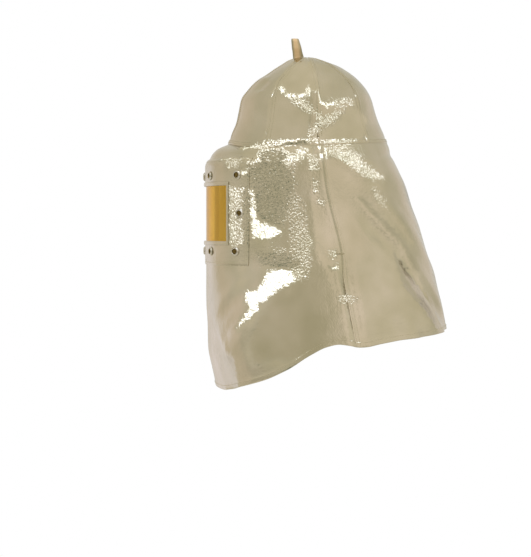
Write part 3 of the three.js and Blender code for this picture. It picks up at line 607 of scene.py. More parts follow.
def aluminized_foil():
    """Aluminized film bonded to a twill of aramid yarn: a pale champagne mirror that the weave breaks up, so
    a reflected lamp has a sparkling edge, and the cloth between lamps is an even beige."""
    material, tree = new_material("aluminized_film_on_twill")
    place = add_node(tree, "ShaderNodeTexCoord")
    surface, solid = place.outputs["UV"], place.outputs["Object"]
    # Tint of the film: uneven over a hand's width, warmer where it is handled.
    tone = add_node(tree, "ShaderNodeTexNoise", [("Vector", solid)],
                    inputs={"Scale": 1 / 0.07, "Detail": 2.0, "Roughness": 0.55})
    tint = add_node(tree, "ShaderNodeValToRGB", [("Fac", tone.outputs["Fac"])],
                    stops=[(0.3, "#BAB192"), (0.7, "#CCC1A7"), (0.5, "#C3B99C")])
    # The twill's ribs are 0.5 mm apart, drawn at 1.3 mm so that they show.
    weave = add_node(tree, "ShaderNodeTexWave", [("Vector", surface)], wave_type="BANDS",
                     bands_direction="DIAGONAL", inputs={"Scale": 0.314 / 0.0013, "Distortion": 1.2,
                                                         "Detail": 1.0, "Detail Scale": 2.0})
    # Grain of the film over the yarns, 1 to 2 mm, drawn at 3.4 mm so that it shows, and its crinkles, 7 mm.
    grain = add_node(tree, "ShaderNodeTexNoise", [("Vector", solid)],
                     inputs={"Scale": 1 / 0.0034, "Detail": 1.5, "Roughness": 0.6})
    crinkle = add_node(tree, "ShaderNodeTexVoronoi", [("Vector", solid)], feature="DISTANCE_TO_EDGE",
                       inputs={"Scale": 1 / 0.007, "Randomness": 1.0})
    soft = add_node(tree, "ShaderNodeTexNoise", [("Vector", solid)],
                    inputs={"Scale": 1 / 0.014, "Detail": 2.0, "Roughness": 0.5})
    dull = add_node(tree, "ShaderNodeMapRange", [("Value", soft.outputs["Fac"])],
                    inputs={"From Min": 0.3, "From Max": 0.7, "To Min": 0.14, "To Max": 0.2})
    ribs = add_node(tree, "ShaderNodeBump", [("Height", weave.outputs["Fac"])],
                    inputs={"Strength": 0.35, "Distance": 0.0001})
    # Where the foil has been crushed its grain is deeper, so that it sparkles.
    crushed = add_node(tree, "ShaderNodeAttribute", attribute_name="crushed")
    depth = add_node(tree, "ShaderNodeMapRange", [("Value", crushed.outputs["Fac"])],
                     inputs={"To Min": 0.15, "To Max": 1.0})
    grained = add_node(tree, "ShaderNodeBump",
                       [("Height", grain.outputs["Fac"]), ("Normal", ribs.outputs["Normal"]),
                        ("Strength", depth.outputs["Result"])], inputs={"Distance": 0.002})
    crinkled = add_node(tree, "ShaderNodeBump",
                        [("Height", crinkle.outputs["Distance"]), ("Normal", grained.outputs["Normal"])],
                        inputs={"Strength": 0.2, "Distance": 0.0006})
    dented = add_node(tree, "ShaderNodeBump",
                      [("Height", soft.outputs["Fac"]), ("Normal", crinkled.outputs["Normal"])],
                      inputs={"Strength": 0.2, "Distance": 0.002})
    shader = add_node(tree, "ShaderNodeBsdfPrincipled",
                      [("Base Color", tint.outputs["Color"]), ("Roughness", dull.outputs["Result"]),
                       ("Normal", dented.outputs["Normal"])],
                      inputs={"Metallic": 1.0})
    add_node(tree, "ShaderNodeOutputMaterial", [("Surface", shader.outputs["BSDF"])])
    return material


def aramid_inside():
    """Bare para-aramid twill, the laminate's inner face: matt straw yellow yarn."""
    material, tree = new_material("aramid_twill_inside")
    place = add_node(tree, "ShaderNodeTexCoord")
    tone = add_node(tree, "ShaderNodeTexNoise", [("Vector", place.outputs["Object"])],
                    inputs={"Scale": 1 / 0.03, "Detail": 3.0})
    colour = add_node(tree, "ShaderNodeValToRGB", [("Fac", tone.outputs["Fac"])],
                      stops=[(0.3, "#B8A06A"), (0.7, "#C7B27C")])
    # Twill ribs 0.5 mm apart, drawn at 1.3 mm so that they show.
    ribs = add_node(tree, "ShaderNodeTexWave", [("Vector", place.outputs["UV"])], bands_direction="DIAGONAL",
                    inputs={"Scale": 0.314 / 0.0013, "Distortion": 0.6})
    bump = add_node(tree, "ShaderNodeBump", [("Height", ribs.outputs["Fac"])],
                    inputs={"Strength": 0.5, "Distance": 0.0003})
    shader = add_node(tree, "ShaderNodeBsdfPrincipled",
                      [("Base Color", colour.outputs["Color"]), ("Normal", bump.outputs["Normal"])],
                      inputs={"Roughness": 0.9, "Sheen Weight": 0.3, "Sheen Roughness": 0.4})
    add_node(tree, "ShaderNodeOutputMaterial", [("Surface", shader.outputs["BSDF"])])
    return material


def visor_face(name, deep, pale, film, glint):
    """A face of the visor's polycarbonate sheet. The gold film on the outer one is a deep yellow mirror that
    lets some amber light through to the clear one. The sheet's end on the wearer's right is painted a dull dark
    brown, a painted shadow that shows through from the other side as the dark shadow line at that edge."""
    material, tree = new_material(name)
    place = add_node(tree, "ShaderNodeTexCoord")
    wash = add_node(tree, "ShaderNodeTexNoise", [("Vector", place.outputs["Object"])],
                    inputs={"Scale": 1 / 0.05, "Detail": 1.0})
    colour = add_node(tree, "ShaderNodeValToRGB", [("Fac", wash.outputs["Fac"])], stops=[(0.3, deep), (0.7, pale)])
    sheet = add_node(tree, "ShaderNodeBsdfPrincipled", [("Base Color", colour.outputs["Color"])],
                     inputs={"Roughness": 0.04, "Metallic": film, "Transmission Weight": 1.0, "IOR": 1.585,
                             "Specular Tint": srgb(glint)})
    # Painted shadow: this dull dark brown stands in for the shadow line at the sheet's end on the wearer's right.
    painted_shadow_line = add_node(tree, "ShaderNodeBsdfPrincipled", inputs={"Base Color": srgb("#4A1703"), "Roughness": 0.6})
    # The painted shadow line starts 6 mm inside the opening, by the arc along the sheet.
    where = add_node(tree, "ShaderNodeSeparateXYZ", [("Vector", place.outputs["UV"])])
    shadow_line_mask = add_node(tree, "ShaderNodeMath", [(0, where.outputs["X"])], operation="LESS_THAN",
                      inputs={1: (6 - WINDOW_ARC / 2) * MM})
    mix = add_node(tree, "ShaderNodeMixShader",
                   [("Fac", shadow_line_mask.outputs["Value"]), (1, sheet.outputs["BSDF"]), (2, painted_shadow_line.outputs["BSDF"])])
    add_node(tree, "ShaderNodeOutputMaterial", [("Surface", mix.outputs["Shader"])])
    return material


def plated_metal(name, shade, worn, roughness):
    """Stamped and plated snap metal: polished, and duller in patches where it is worn."""
    material, tree = new_material(name)
    place = add_node(tree, "ShaderNodeTexCoord")
    wear = add_node(tree, "ShaderNodeTexNoise", [("Vector", place.outputs["Object"])],
                    inputs={"Scale": 1 / 0.0025, "Detail": 3.0})
    colour = add_node(tree, "ShaderNodeValToRGB", [("Fac", wear.outputs["Fac"])], stops=[(0.35, worn), (0.6, shade)])
    dull = add_node(tree, "ShaderNodeMapRange", [("Value", wear.outputs["Fac"])],
                    inputs={"To Min": roughness + 0.12, "To Max": roughness})
    bump = add_node(tree, "ShaderNodeBump", [("Height", wear.outputs["Fac"])],
                    inputs={"Strength": 0.3, "Distance": 0.0002})
    shader = add_node(tree, "ShaderNodeBsdfPrincipled",
                      [("Base Color", colour.outputs["Color"]), ("Roughness", dull.outputs["Result"]),
                       ("Normal", bump.outputs["Normal"])], inputs={"Metallic": 1.0})
    add_node(tree, "ShaderNodeOutputMaterial", [("Surface", shader.outputs["BSDF"])])
    return material


def aramid_yarn(name, light, dark, selvedge=None):
    """Spun aramid yarn, woven or twisted: matt, golden tan, with a rib at each pick. A woven strip's UV runs
    across it from 0 to 1, and its two edges are a greyer selvedge."""
    material, tree = new_material(name)
    place = add_node(tree, "ShaderNodeTexCoord")
    # Picks 1.1 mm apart across the webbing, in two directions that cross.
    picks = [add_node(tree, "ShaderNodeTexWave", [("Vector", place.outputs["Object"])], bands_direction=way,
                      inputs={"Scale": 0.314 / 0.0011, "Distortion": 0.8}) for way in ("Z", "DIAGONAL")]
    knit = add_node(tree, "ShaderNodeMix", [("A", picks[0].outputs["Fac"]), ("B", picks[1].outputs["Fac"])],
                    inputs={"Factor": 0.5})
    colour = add_node(tree, "ShaderNodeValToRGB", [("Fac", knit.outputs["Result"])],
                      stops=[(0.1, dark), (0.75, light)])
    shade = colour.outputs["Color"]
    if selvedge:
        across = add_node(tree, "ShaderNodeSeparateXYZ", [("Vector", place.outputs["UV"])])
        edge = add_node(tree, "ShaderNodeValToRGB", [("Fac", across.outputs["X"])],
                        stops=[(0.05, "#FFFFFF"), (0.95, "#FFFFFF"), (0.26, "#000000"), (0.6, "#000000")])
        both = add_node(tree, "ShaderNodeMix", [("Factor", edge.outputs["Color"]), (6, shade)], data_type="RGBA",
                        inputs={7: srgb(selvedge)})
        shade = both.outputs[2]
    bump = add_node(tree, "ShaderNodeBump", [("Height", knit.outputs["Result"])],
                    inputs={"Strength": 0.7, "Distance": 0.0004})
    shader = add_node(tree, "ShaderNodeBsdfPrincipled", [("Base Color", shade), ("Normal", bump.outputs["Normal"])],
                      inputs={"Roughness": 0.85, "Sheen Weight": 0.25, "Sheen Roughness": 0.4})
    add_node(tree, "ShaderNodeOutputMaterial", [("Surface", shader.outputs["BSDF"])])
    return material


foil = aluminized_foil()
inside = aramid_inside()
gold = visor_face("gold_coated_polycarbonate", "#EDBC42", "#F3C852", 0.46, "#F4D488")
clear = visor_face("clear_polycarbonate", "#F4EEDC", "#FAF6E8", 0.0, "#FFFFFF")
nickel = plated_metal("nickel_plated_brass", "#D8D3C4", "#B9AE90", 0.16)
brass = plated_metal("worn_brass_socket", "#7E6A3A", "#4A3C1E", 0.3)
webbing = aramid_yarn("aramid_webbing", "#F2D3A0", "#D2AC74", "#A09570")
thread = aramid_yarn("aramid_sewing_thread", "#CFC29A", "#A99A70")


# Seams: what lies within a seam's allowance stands proud of the cloth, and the seam itself is a groove.
def seam_relief(away, felled):
    """Rise of the cloth at a distance from its seam, with the allowance turned under this side if felled."""
    groove = -SEAM_GROOVE * np.exp(-(away / 1.3) ** 2)
    band = smoothstep(away, 0.6, 2.2) * (1 - smoothstep(away, SEAM_ALLOWANCE - 1, SEAM_ALLOWANCE + 0.8))
    return groove + (SEAM_RISE * band if felled else 0.25 * SEAM_RISE * band)


# A stitch's rings: the place of each along the stitch, its size and its rise, as shares of STITCH_RADIUS
STITCH_RINGS = [(-0.1, 0.25, -0.5), (0.12, 0.9, 0.15), (0.5, 1.0, 0.35), (0.88, 0.9, 0.15), (1.1, 0.25, -0.5)]
STITCH_SIDES = 5
stitches = {}


def stitch_row(seam, points, normals):
    """Stitches along a line on the cloth, gathered by seam."""
    run = run_along(points)
    count = int(run[-1] / STITCH_PITCH)
    middle = (np.arange(count) + 0.5) * STITCH_PITCH
    pick = lambda values, at: np.stack([np.interp(at, run, values[:, k]) for k in range(3)], -1)
    start, end = pick(points, middle - STITCH_LENGTH / 2), pick(points, middle + STITCH_LENGTH / 2)
    up = unit(pick(normals, middle))
    side = np.cross(unit(end - start), up)
    rings = []
    for share, size, rise in STITCH_RINGS:
        centre = start + (end - start) * share + up * (rise * STITCH_RADIUS)
        for turn in turns_of(STITCH_SIDES):
            rings.append(centre + STITCH_RADIUS * size * (math.cos(turn) * side + math.sin(turn) * up))
    made = np.stack(rings, 1)
    faces = tube_faces(len(STITCH_RINGS), STITCH_SIDES) + np.arange(count)[:, None, None] * len(rings)
    stitches.setdefault(seam, []).append((made.reshape(-1, 3), faces.reshape(-1, 4)))


def sew(name):
    """One piece of all the stitches of a seam."""
    points, faces, used = [], [], 0
    for made, quads in stitches[name]:
        points.append(made)
        faces.append(quads + used)
        used += len(made)
    row = mesh_object(name, np.concatenate(points), np.concatenate(faces), [thread])


# Crown gores
def gore(place, hand):
    turn = 360 / CROWN_GORES
    first = place * turn if hand > 0 else -(place + 1) * turn
    columns, rows = 36, 66
    station = np.linspace(0.004, 1, rows + 1)[:, None] + np.zeros((1, columns + 1))
    share = np.linspace(0, 1, columns + 1)[None, :]
    inset = np.degrees(SEWN_GAP / 2 / crown_reach(np.array(float(first)), station))
    angle = first + inset + (turn - 2 * inset) * share
    base = crown_point(angle, station)
    normal = outward(crown_point, angle, station, 0.01)
    reach = np.radians(turn) * crown_reach(angle, station)
    from_first, from_last = share * reach, (1 - share) * reach
    down = ring_drop(angle) * along(CROWN, "drop", station)
    to_ring = ring_drop(angle) - down
    edge = smoothstep(np.minimum(from_first, from_last), 0, 14) * smoothstep(to_ring, 0, 16)
    relief = (rumple(base, 0.4) + creased(base)) * (0.12 + 0.88 * edge) * smoothstep(station, 0.02, 0.25)
    relief += seam_relief(from_first, True) + seam_relief(from_last, False)
    welt = smoothstep(to_ring, 0.0, 1.2) * (1 - smoothstep(to_ring, 6.0, 7.5))
    relief += 0.9 * welt - 0.5 * np.exp(-((to_ring - 8) / 1.5) ** 2)
    relief[-1] = 0.2
    outer = base + normal * relief[..., None]
    inner = base + normal * (np.minimum(relief, 0.2) - LAMINATE)[..., None]
    for row in (outer, inner):
        row[-1] += [0, 0, SEWN_GAP / 2]
    uv = np.stack([(share - 0.5) * reach, -down], -1)
    side = "left" if hand > 0 else "right"
    name = ("front", "front_side", "back_side", "back")[place]
    made = shell(f"gore_{name}_{side}", outer, inner, [foil, inside], uv, places=(angle, down))
    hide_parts(f"crown_gore_{name}_{side}")
    for away in SEAM_ROWS:
        column = nearest_to(from_first - away, axis=1)
        k = np.arange(rows + 1)
        # These rows stop short of the apex and of the ring seam.
        keep = slice(6, rows - 3)
        stitch_row("crown_stitches", outer[k, column][keep], normal[k, column][keep])
    for away in RING_ROWS:
        row = nearest_to(to_ring - away, axis=0)
        k = np.arange(columns + 1)
        stitch_row("ring_stitches", outer[row, k], normal[row, k])
    return made, outer


def laid_out(grid):
    """A panel's flat size in metres, across its longest row and down its longest column, and its area."""
    across = np.linalg.norm(np.diff(grid, axis=1), axis=2).sum(1).max() * MM
    down = np.linalg.norm(np.diff(grid, axis=0), axis=2).sum(0).max() * MM
    one = np.cross(grid[1:, 1:] - grid[:-1, :-1], grid[1:, :-1] - grid[:-1, 1:])
    area = np.linalg.norm(one, axis=2).sum() / 2 * MM * MM
    return round(float(across), 3), round(float(down), 3), round(float(area), 4)


for place in range(4):
    for hand in (1, -1):
        made, grid = gore(place, hand)

# Cape panels
WINDOW_ARCS = evenly(0, WINDOW_ARC / 2, 30)
HOLE_ARC = WINDOW_ARC / 2 + VISOR_HOLD + VISOR_CLEARANCE
HOLE_TOP, HOLE_BOTTOM = WINDOW_TOP - VISOR_HOLD - VISOR_CLEARANCE, WINDOW_BOTTOM + VISOR_HOLD + VISOR_CLEARANCE
LEDGE_ROWS = 10
BAND_ROWS = [PATCH_TOP, *evenly(PATCH_TOP, HOLE_TOP, 14), WINDOW_TOP, *evenly(WINDOW_TOP, WINDOW_BOTTOM, 33),
             HOLE_BOTTOM, *evenly(HOLE_BOTTOM, PATCH_BOTTOM, 12)]
HEM_ROWS = (0.6, 1.2, 3.0, 5.2, 7.2, HEM_HEIGHT)


def cape_rows(angle, skirt):
    """Drops of the cape's rows, from the ring seam to the hem's lower edge, with skirt rows under the window."""
    ring, hem = ring_drop(angle) + SEWN_GAP / 2, hem_drop(angle)
    ledge = [ring + (PATCH_TOP - ring) * share for share in np.linspace(0, 1, LEDGE_ROWS + 1)[:-1]]
    band = [value + 0 * angle for value in BAND_ROWS]
    fold = hem - HEM_HEIGHT
    below = [PATCH_BOTTOM + (fold - PATCH_BOTTOM) * share for share in evenly(0, 1, skirt)]
    return np.stack([*ledge, *band, *below, *[fold + rise for rise in HEM_ROWS]])


def cape_panel(name, angle_of, columns, skirt, covered=None):
    """A panel of the cape. angle_of gives a column's angle at a drop, and covered the cells that have cloth."""
    index = np.arange(columns + 1)
    middle = angle_of(index, np.full(columns + 1, float(PATCH_BOTTOM)))
    angle = angle_of(index[None, :], cape_rows(middle, skirt))
    # A row's drop depends on the angle and a column's angle on the drop: two rounds settle both.
    for _ in range(2):
        drop = np.stack([cape_rows(line, skirt)[j] for j, line in enumerate(angle)])
        angle = angle_of(index[None, :], drop)
    base = cape_point(angle, drop)
    normal = cape_normal(angle, drop)
    reach = cape_reach(angle, drop)
    to_seam = np.radians(np.abs(folded(angle) - side_seam(drop))) * reach
    to_ring, to_hem = drop - ring_drop(angle), hem_drop(angle) - drop
    back = name == "cape_back"
    loose = 1 - window_hold(angle, drop)
    edge = smoothstep(to_seam, 0, 14) * smoothstep(to_ring, 0, 14) * smoothstep(to_hem, 0, 18)
    relief = (rumple(base, 0.4) + creased(base)) * (0.15 + 0.85 * edge) * (0.1 + 0.9 * loose)
    relief += seam_relief(to_seam, back)
    hem = smoothstep(HEM_HEIGHT - to_hem, -0.4, 0.6)
    relief += HEM_FOLD * hem * (1 - smoothstep(HEM_HEIGHT - to_hem, 6.6, 8.2) * 0.6)
    relief[0] = 0
    outer = base + normal * relief[..., None]
    inner = base + normal * (np.minimum(relief, rumple(base, 0.3) * loose + 0.2) - LAMINATE)[..., None]
    uv = np.stack([np.radians(angle) * reach, -drop], -1)
    made = shell(name + "_panel", outer, inner, [foil, inside], uv, covered, (angle, drop))
    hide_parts(name)
    k = np.arange(columns + 1)
    row = nearest_to(to_hem - HEM_ROW, axis=0)
    stitch_row("hem_stitches", outer[row, k], normal[row, k])
    if back:
        j = np.arange(len(angle))
        for half in (slice(0, columns // 2), slice(columns // 2, columns + 1)):
            for away in SEAM_ROWS:
                column = nearest_to(to_seam[:, half] - away, axis=1) + half.start
                stitch_row("side_stitches", outer[j, column][3:], normal[j, column][3:])
    across, down, area = laid_out(outer)
    if covered is not None:
        area = round(area - WINDOW_ARC * WINDOW_HEIGHT * MM * MM, 4)


# Columns of the front panel: those over the window lie at the same arcs as the window's own, and
# SIDE_COLUMNS on each side lead from them to the side seam
SIDE_COLUMNS, FRONT_SKIRT, BACK_COLUMNS, BACK_SKIRT = 62, 60, 200, 44
_arcs = mirrored([*WINDOW_ARCS, HOLE_ARC, *evenly(HOLE_ARC, PATCH_HALF_ARC, 13)])
_front_angles = angle_at_arc(_arcs)
FRONT_COLUMNS = len(_arcs) - 1 + 2 * SIDE_COLUMNS


def front_angle(i, drop):
    i = np.broadcast_to(i, np.shape(drop))
    mirror = np.where(i > FRONT_COLUMNS / 2, FRONT_COLUMNS - i, i)
    seam = side_seam(drop)
    edge = np.degrees(SEWN_GAP / 2 / cape_reach(seam, drop)) - seam
    side = edge + (_front_angles[0] - edge) * mirror / SIDE_COLUMNS
    held = _front_angles[np.clip(mirror - SIDE_COLUMNS, 0, len(_arcs) // 2)]
    return np.where(mirror >= SIDE_COLUMNS, held, side) * np.where(i > FRONT_COLUMNS / 2, -1, 1)


def back_angle(i, drop):
    seam = side_seam(drop)
    start = seam + np.degrees(SEWN_GAP / 2 / cape_reach(seam, drop))
    return start + (360 - 2 * start) * i / BACK_COLUMNS


def cells_round_hole():
    """The front panel's cells that have cloth: all but those of the hole behind the window frame."""
    first, last = (SIDE_COLUMNS + nearest_to(_arcs - edge) for edge in (-HOLE_ARC, HOLE_ARC))
    top, bottom = (LEDGE_ROWS + BAND_ROWS.index(edge) for edge in (HOLE_TOP, HOLE_BOTTOM))
    cells = np.ones((len(cape_rows(np.zeros(1), FRONT_SKIRT)) - 1, FRONT_COLUMNS), bool)
    cells[top:bottom, first:last] = False
    return cells


cape_panel("cape_front", front_angle, FRONT_COLUMNS, FRONT_SKIRT, cells_round_hole())
cape_panel("cape_back", back_angle, BACK_COLUMNS, BACK_SKIRT)


# Window frame, its binding and the visor: walls that follow the cape over lists of arcs and drops
def window_grid(arcs, drops):
    angle, drop = np.meshgrid(angle_at_arc(np.array(arcs)), np.array(drops))
    return angle, drop, cape_point(angle, drop), cape_normal(angle, drop)


def cells_round_opening(arcs, drops):
    """The cells of a grid that lie beside, above or under the window's opening."""
    arc, drop = np.meshgrid((arcs[1:] + arcs[:-1]) / 2, (drops[1:] + drops[:-1]) / 2)
    return (np.abs(arc) > WINDOW_ARC / 2) | (drop < WINDOW_TOP) | (drop > WINDOW_BOTTOM)


def window_frame():
    arcs = mirrored([*evenly(0, WINDOW_ARC / 2, 32), *evenly(WINDOW_ARC / 2, PATCH_HALF_ARC, 18)])
    drops = np.array([PATCH_TOP, *evenly(PATCH_TOP, WINDOW_TOP, 18), *evenly(WINDOW_TOP, WINDOW_BOTTOM, 34),
                      *evenly(WINDOW_BOTTOM, PATCH_BOTTOM, 16)])
    angle, drop, base, normal = window_grid(arcs, drops)
    arc = np.broadcast_to(arcs[None, :], angle.shape)
    inset = np.minimum(PATCH_HALF_ARC - np.abs(arc), np.minimum(drop - PATCH_TOP, PATCH_BOTTOM - drop))
    # The edge is folded down to the cape, and its row of stitches pulls a groove.
    relief = PATCH_LIFT - 1.2 * (1 - smoothstep(inset, 0, 3)) - 0.3 * np.exp(-((inset - FRAME_ROW) / 1.1) ** 2)
    relief += rumple(base, 0.3) * smoothstep(inset, 0, 9)
    outer = base + normal * relief[..., None]
    inner = base + normal * SEAM_GAP
    uv = np.stack([arc, -drop], -1)
    made = shell("window_frame_panel", outer, inner, [foil, inside], uv, cells_round_opening(arcs, drops),
                 (angle, drop))
    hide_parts("window_frame")
    for row in (nearest_to(drops - PATCH_TOP - FRAME_ROW), nearest_to(PATCH_BOTTOM - FRAME_ROW - drops)):
        stitch_row("frame_stitches", outer[row, 2:-2], normal[row, 2:-2])
    for column in (nearest_to(arcs + PATCH_HALF_ARC - FRAME_ROW), nearest_to(PATCH_HALF_ARC - FRAME_ROW - arcs)):
        stitch_row("frame_stitches", outer[2:-2, column], normal[2:-2, column])
    return made, outer


frame_panel, _grid = window_frame()
_across, _down, _area = laid_out(_grid)
_area = round(_area - WINDOW_ARC * WINDOW_HEIGHT * MM * MM, 4)


def window_lip():
    side = WINDOW_ARC / 2
    arcs = mirrored([*evenly(0, side, 36), *evenly(side, side + LIP_SIDE_WIDTH, 6)])
    drops = np.array([*np.linspace(WINDOW_TOP - LIP_WIDTH, WINDOW_TOP, 7), *evenly(WINDOW_TOP, WINDOW_BOTTOM, 20),
                      *evenly(WINDOW_BOTTOM, WINDOW_BOTTOM + LIP_WIDTH, 6)])
    angle, drop, base, normal = window_grid(arcs, drops)
    arc = np.abs(np.broadcast_to(arcs[None, :], angle.shape))
    outside = np.minimum(side + LIP_SIDE_WIDTH - arc, np.minimum(drop - WINDOW_TOP, WINDOW_BOTTOM - drop) + LIP_WIDTH)
    inside_edge = np.maximum(arc - side, np.maximum(WINDOW_TOP - drop, drop - WINDOW_BOTTOM))
    near = np.clip(np.minimum(outside, inside_edge) / 1.6, 0, 1)
    lift = PATCH_LIFT + SEAM_GAP
    outer = base + normal * (lift + LIP_HEIGHT * (0.35 + 0.65 * np.sqrt(1 - (1 - near) ** 2)))[..., None]
    inner = base + normal * lift
    uv = np.stack([arc, -drop], -1)
    made = shell("window_lip_binding", outer, inner, [foil, foil], uv, cells_round_opening(arcs, drops))
    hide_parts("window_lip")
    return made


lip = window_lip()


def visor():
    half = WINDOW_ARC / 2 + VISOR_HOLD
    arcs = np.linspace(-half, half, 81)
    drops = np.linspace(WINDOW_TOP - VISOR_HOLD, WINDOW_BOTTOM + VISOR_HOLD, 25)
    angle, drop, base, normal = window_grid(arcs, drops)
    uv = np.stack([np.broadcast_to(arcs[None, :], angle.shape), -drop], -1)
    made = shell("visor_sheet", base, base - normal * VISOR_WALL, [gold, clear], uv)
    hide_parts("visor")


visor()


# Snaps: nickel flange, raised rim and brass socket. The socket starts at the profile's row SOCKET_FROM.
SNAP_PROFILE = table("reach height", [
    (0.0, 0.0), (1.0, 0.0), (1.0, 0.18), (0.95, 0.36), (0.88, 0.42), (0.84, 0.62), (0.78, 0.9), (0.7, 1.0),
    (0.62, 0.9), (0.57, 0.5), (0.52, 0.2), (0.3, 0.12), (0.0, 0.12)])
SOCKET_FROM = 8
SNAP_RADIUS, SNAP_HEIGHT, SNAP_SIDES = 7, 2.6, 32
# Their places: the arc from the front, as a share of half of WINDOW_ARC, and the drop
TOP_ROW, BOTTOM_ROW = WINDOW_TOP - SNAP_ROW_SETBACK, WINDOW_BOTTOM + SNAP_ROW_SETBACK
SNAP_PLACES = {"top_inner": (0.4, TOP_ROW), "top_outer": (1.26, TOP_ROW),
               "middle": (1.32, WINDOW_TOP + WINDOW_HEIGHT / 2),
               "bottom_inner": (0.44, BOTTOM_ROW), "bottom_outer": (1.22, BOTTOM_ROW)}


def snap(name, side, angle, drop):
    reach, height = SNAP_PROFILE["reach"] * SNAP_RADIUS, SNAP_PROFILE["height"] * SNAP_HEIGHT
    turn = turns_of(SNAP_SIDES)
    rings = np.stack([np.outer(reach, np.cos(turn)), np.outer(reach, np.sin(turn)),
                      np.outer(height, np.ones(SNAP_SIDES))], -1)
    seat, up = (find(np.array(angle), np.array(drop)) for find in (cape_point, cape_normal))
    across = unit(np.cross([0, 0, 1], up))
    axes = np.stack([across, np.cross(up, across), up])
    points = (rings.reshape(-1, 3) @ axes) + seat + up * (PATCH_LIFT + SEAM_GAP)
    faces = tube_faces(len(reach), SNAP_SIDES)
    slots = np.arange(len(faces)) >= SOCKET_FROM * SNAP_SIDES
    made = mesh_object(f"snap_cap_{name}_{side}", points, faces, [nickel, brass], slots)
    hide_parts(f"snap_{name}_{side}")


for side, hand in (("left", 1), ("right", -1)):
    for name, (share, drop) in SNAP_PLACES.items():
        snap(name, side, float(angle_at_arc(hand * share * WINDOW_ARC / 2)), drop)

# Hanging loop: one strip of webbing, out of the crown's front seam, over and back in. It narrows where it
# bends over.
LOOP_LINE = table("at across up", [
    (0, 0.95, -9), (1, 0.95, 0), (2, 2.7, 6.2), (3, 5.8, 15.2), (4, 5.6, 24), (5, 2.9, 28.4), (6, 0, 29.6)])
LOOP_HEIGHT, LOOP_WIDTH, LOOP_TOP_WIDTH, LOOP_WALL = 30.4, 15.5, 11.5, 1.6
LOOP_FORWARD, LOOP_LEAN, LOOP_TWIST, LOOP_SEAT = 12.5, 6, 3, 0.83
LOOP_STEPS, LOOP_SIDES = 64, 24
LOOP_RUN = 90  # the length that the strip has in its UV
# The strip's section: powers under 1 square a round off, and the edges are thinner by a share
LOOP_SQUARE_ACROSS, LOOP_SQUARE_THICK, LOOP_THINNER = 0.45, 0.6, 0.25


def hanging_loop():
    share = np.linspace(0, 1, LOOP_STEPS + 1)
    top = LOOP_LINE["at"][-1]
    leg = top - np.abs(share * 2 * top - top)
    across = along(LOOP_LINE, "across", leg) * np.where(share < 0.5, 1, -1)
    up = along(LOOP_LINE, "up", leg)
    line = np.stack([across, 0 * up, up], -1)
    way = unit(np.gradient(line, axis=0))
    outer = np.stack([way[:, 2], 0 * up, -way[:, 0]], -1)
    width = LOOP_WIDTH - (LOOP_WIDTH - LOOP_TOP_WIDTH) * smoothstep(up, LOOP_HEIGHT / 3, LOOP_HEIGHT)
    turn = turns_of(LOOP_SIDES)
    flat = np.sign(np.cos(turn)) * np.abs(np.cos(turn)) ** LOOP_SQUARE_ACROSS
    thick = np.sign(np.sin(turn)) * np.abs(np.sin(turn)) ** LOOP_SQUARE_THICK * (1 - LOOP_THINNER * flat ** 4)
    aside = LOOP_TWIST * (share - 0.5) - LOOP_LEAN * np.maximum(up, 0) / LOOP_HEIGHT
    centre = line + np.stack([0 * up, aside, 0 * up], -1) + [0, -LOOP_FORWARD, CLOTH_WALL - LOOP_SEAT]
    points = (centre[:, None] + outer[:, None] * (thick * LOOP_WALL / 2)[None, :, None]
              + np.array([0, 1, 0]) * (flat[None, :] * width[:, None] / 2)[..., None])
    faces = tube_faces(LOOP_STEPS + 1, LOOP_SIDES)
    for first in (0, LOOP_STEPS * LOOP_SIDES):
        last = first + LOOP_SIDES - 1
        faces += [(first + s, first + s + 1, last - 1 - s, last - s) for s in range(LOOP_SIDES // 2 - 1)]
    run = np.broadcast_to((share * LOOP_RUN)[:, None], points.shape[:2])
    side = np.broadcast_to((flat[None, :] + 1) / 2 / MM, points.shape[:2])
    made = mesh_object("loop_webbing_strip", points.reshape(-1, 3), faces, [webbing],
                       uv=np.stack([side, run], -1).reshape(-1, 2))
    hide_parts("hanging_loop")


hanging_loop()

# Bar tack: three close rows across the side seam
BAR_TACK_DROPS, BAR_TACK_ANGLES, BAR_TACK_LIFT = (310.6, 311.6, 312.6), np.linspace(98.6, 104.6, 12), 0.9
for hand in (1, -1):
    for drop in BAR_TACK_DROPS:
        angle, drop = hand * BAR_TACK_ANGLES, np.full(len(BAR_TACK_ANGLES), drop)
        normal = cape_normal(angle, drop)
        stitch_row("side_stitches", cape_point(angle, drop) + normal * BAR_TACK_LIFT, normal)

for name in sorted(stitches):
    sew(name)

# Floor, light and camera, in metres. The lamps face the hood's middle.
FLOOR_HEIGHT, FLOOR_HALF = -1.75, 3.2
MIDDLE, LAMP_DISTANCE = Vector((0, 0, -0.28)), 2.6
DAYLIGHT = "#D2DFFF"
GLOW = 1.25


def stage_plane():
    mesh = bpy.data.meshes.new("floor")
    corners = [(x * FLOOR_HALF, y * FLOOR_HALF, FLOOR_HEIGHT) for x, y in ((-1, -1), (1, -1), (1, 1), (-1, 1))]
    mesh.from_pydata(corners, [], [(0, 1, 2, 3)])
    floor = placed("floor", mesh)
    material, tree = new_material("pale_paper_floor")
    shader = add_node(tree, "ShaderNodeBsdfPrincipled", inputs={"Base Color": srgb("#F4F3EF"), "Roughness": 0.9})
    add_node(tree, "ShaderNodeOutputMaterial", [("Surface", shader.outputs["BSDF"])])
    mesh.materials.append(material)


stage_plane()


def softbox(name, angle, rise, size, power):
    light = bpy.data.lights.new(name, "AREA")
    light.shape, light.size, light.size_y, light.energy = "RECTANGLE", size[0], size[1], power
    light.color = srgb(DAYLIGHT)[:3]
    made = placed(name, light)
    made.location = MIDDLE + Vector(towards(angle, rise)) * LAMP_DISTANCE
    made.rotation_euler = (MIDDLE - made.location).to_track_quat("-Z", "Y").to_euler()


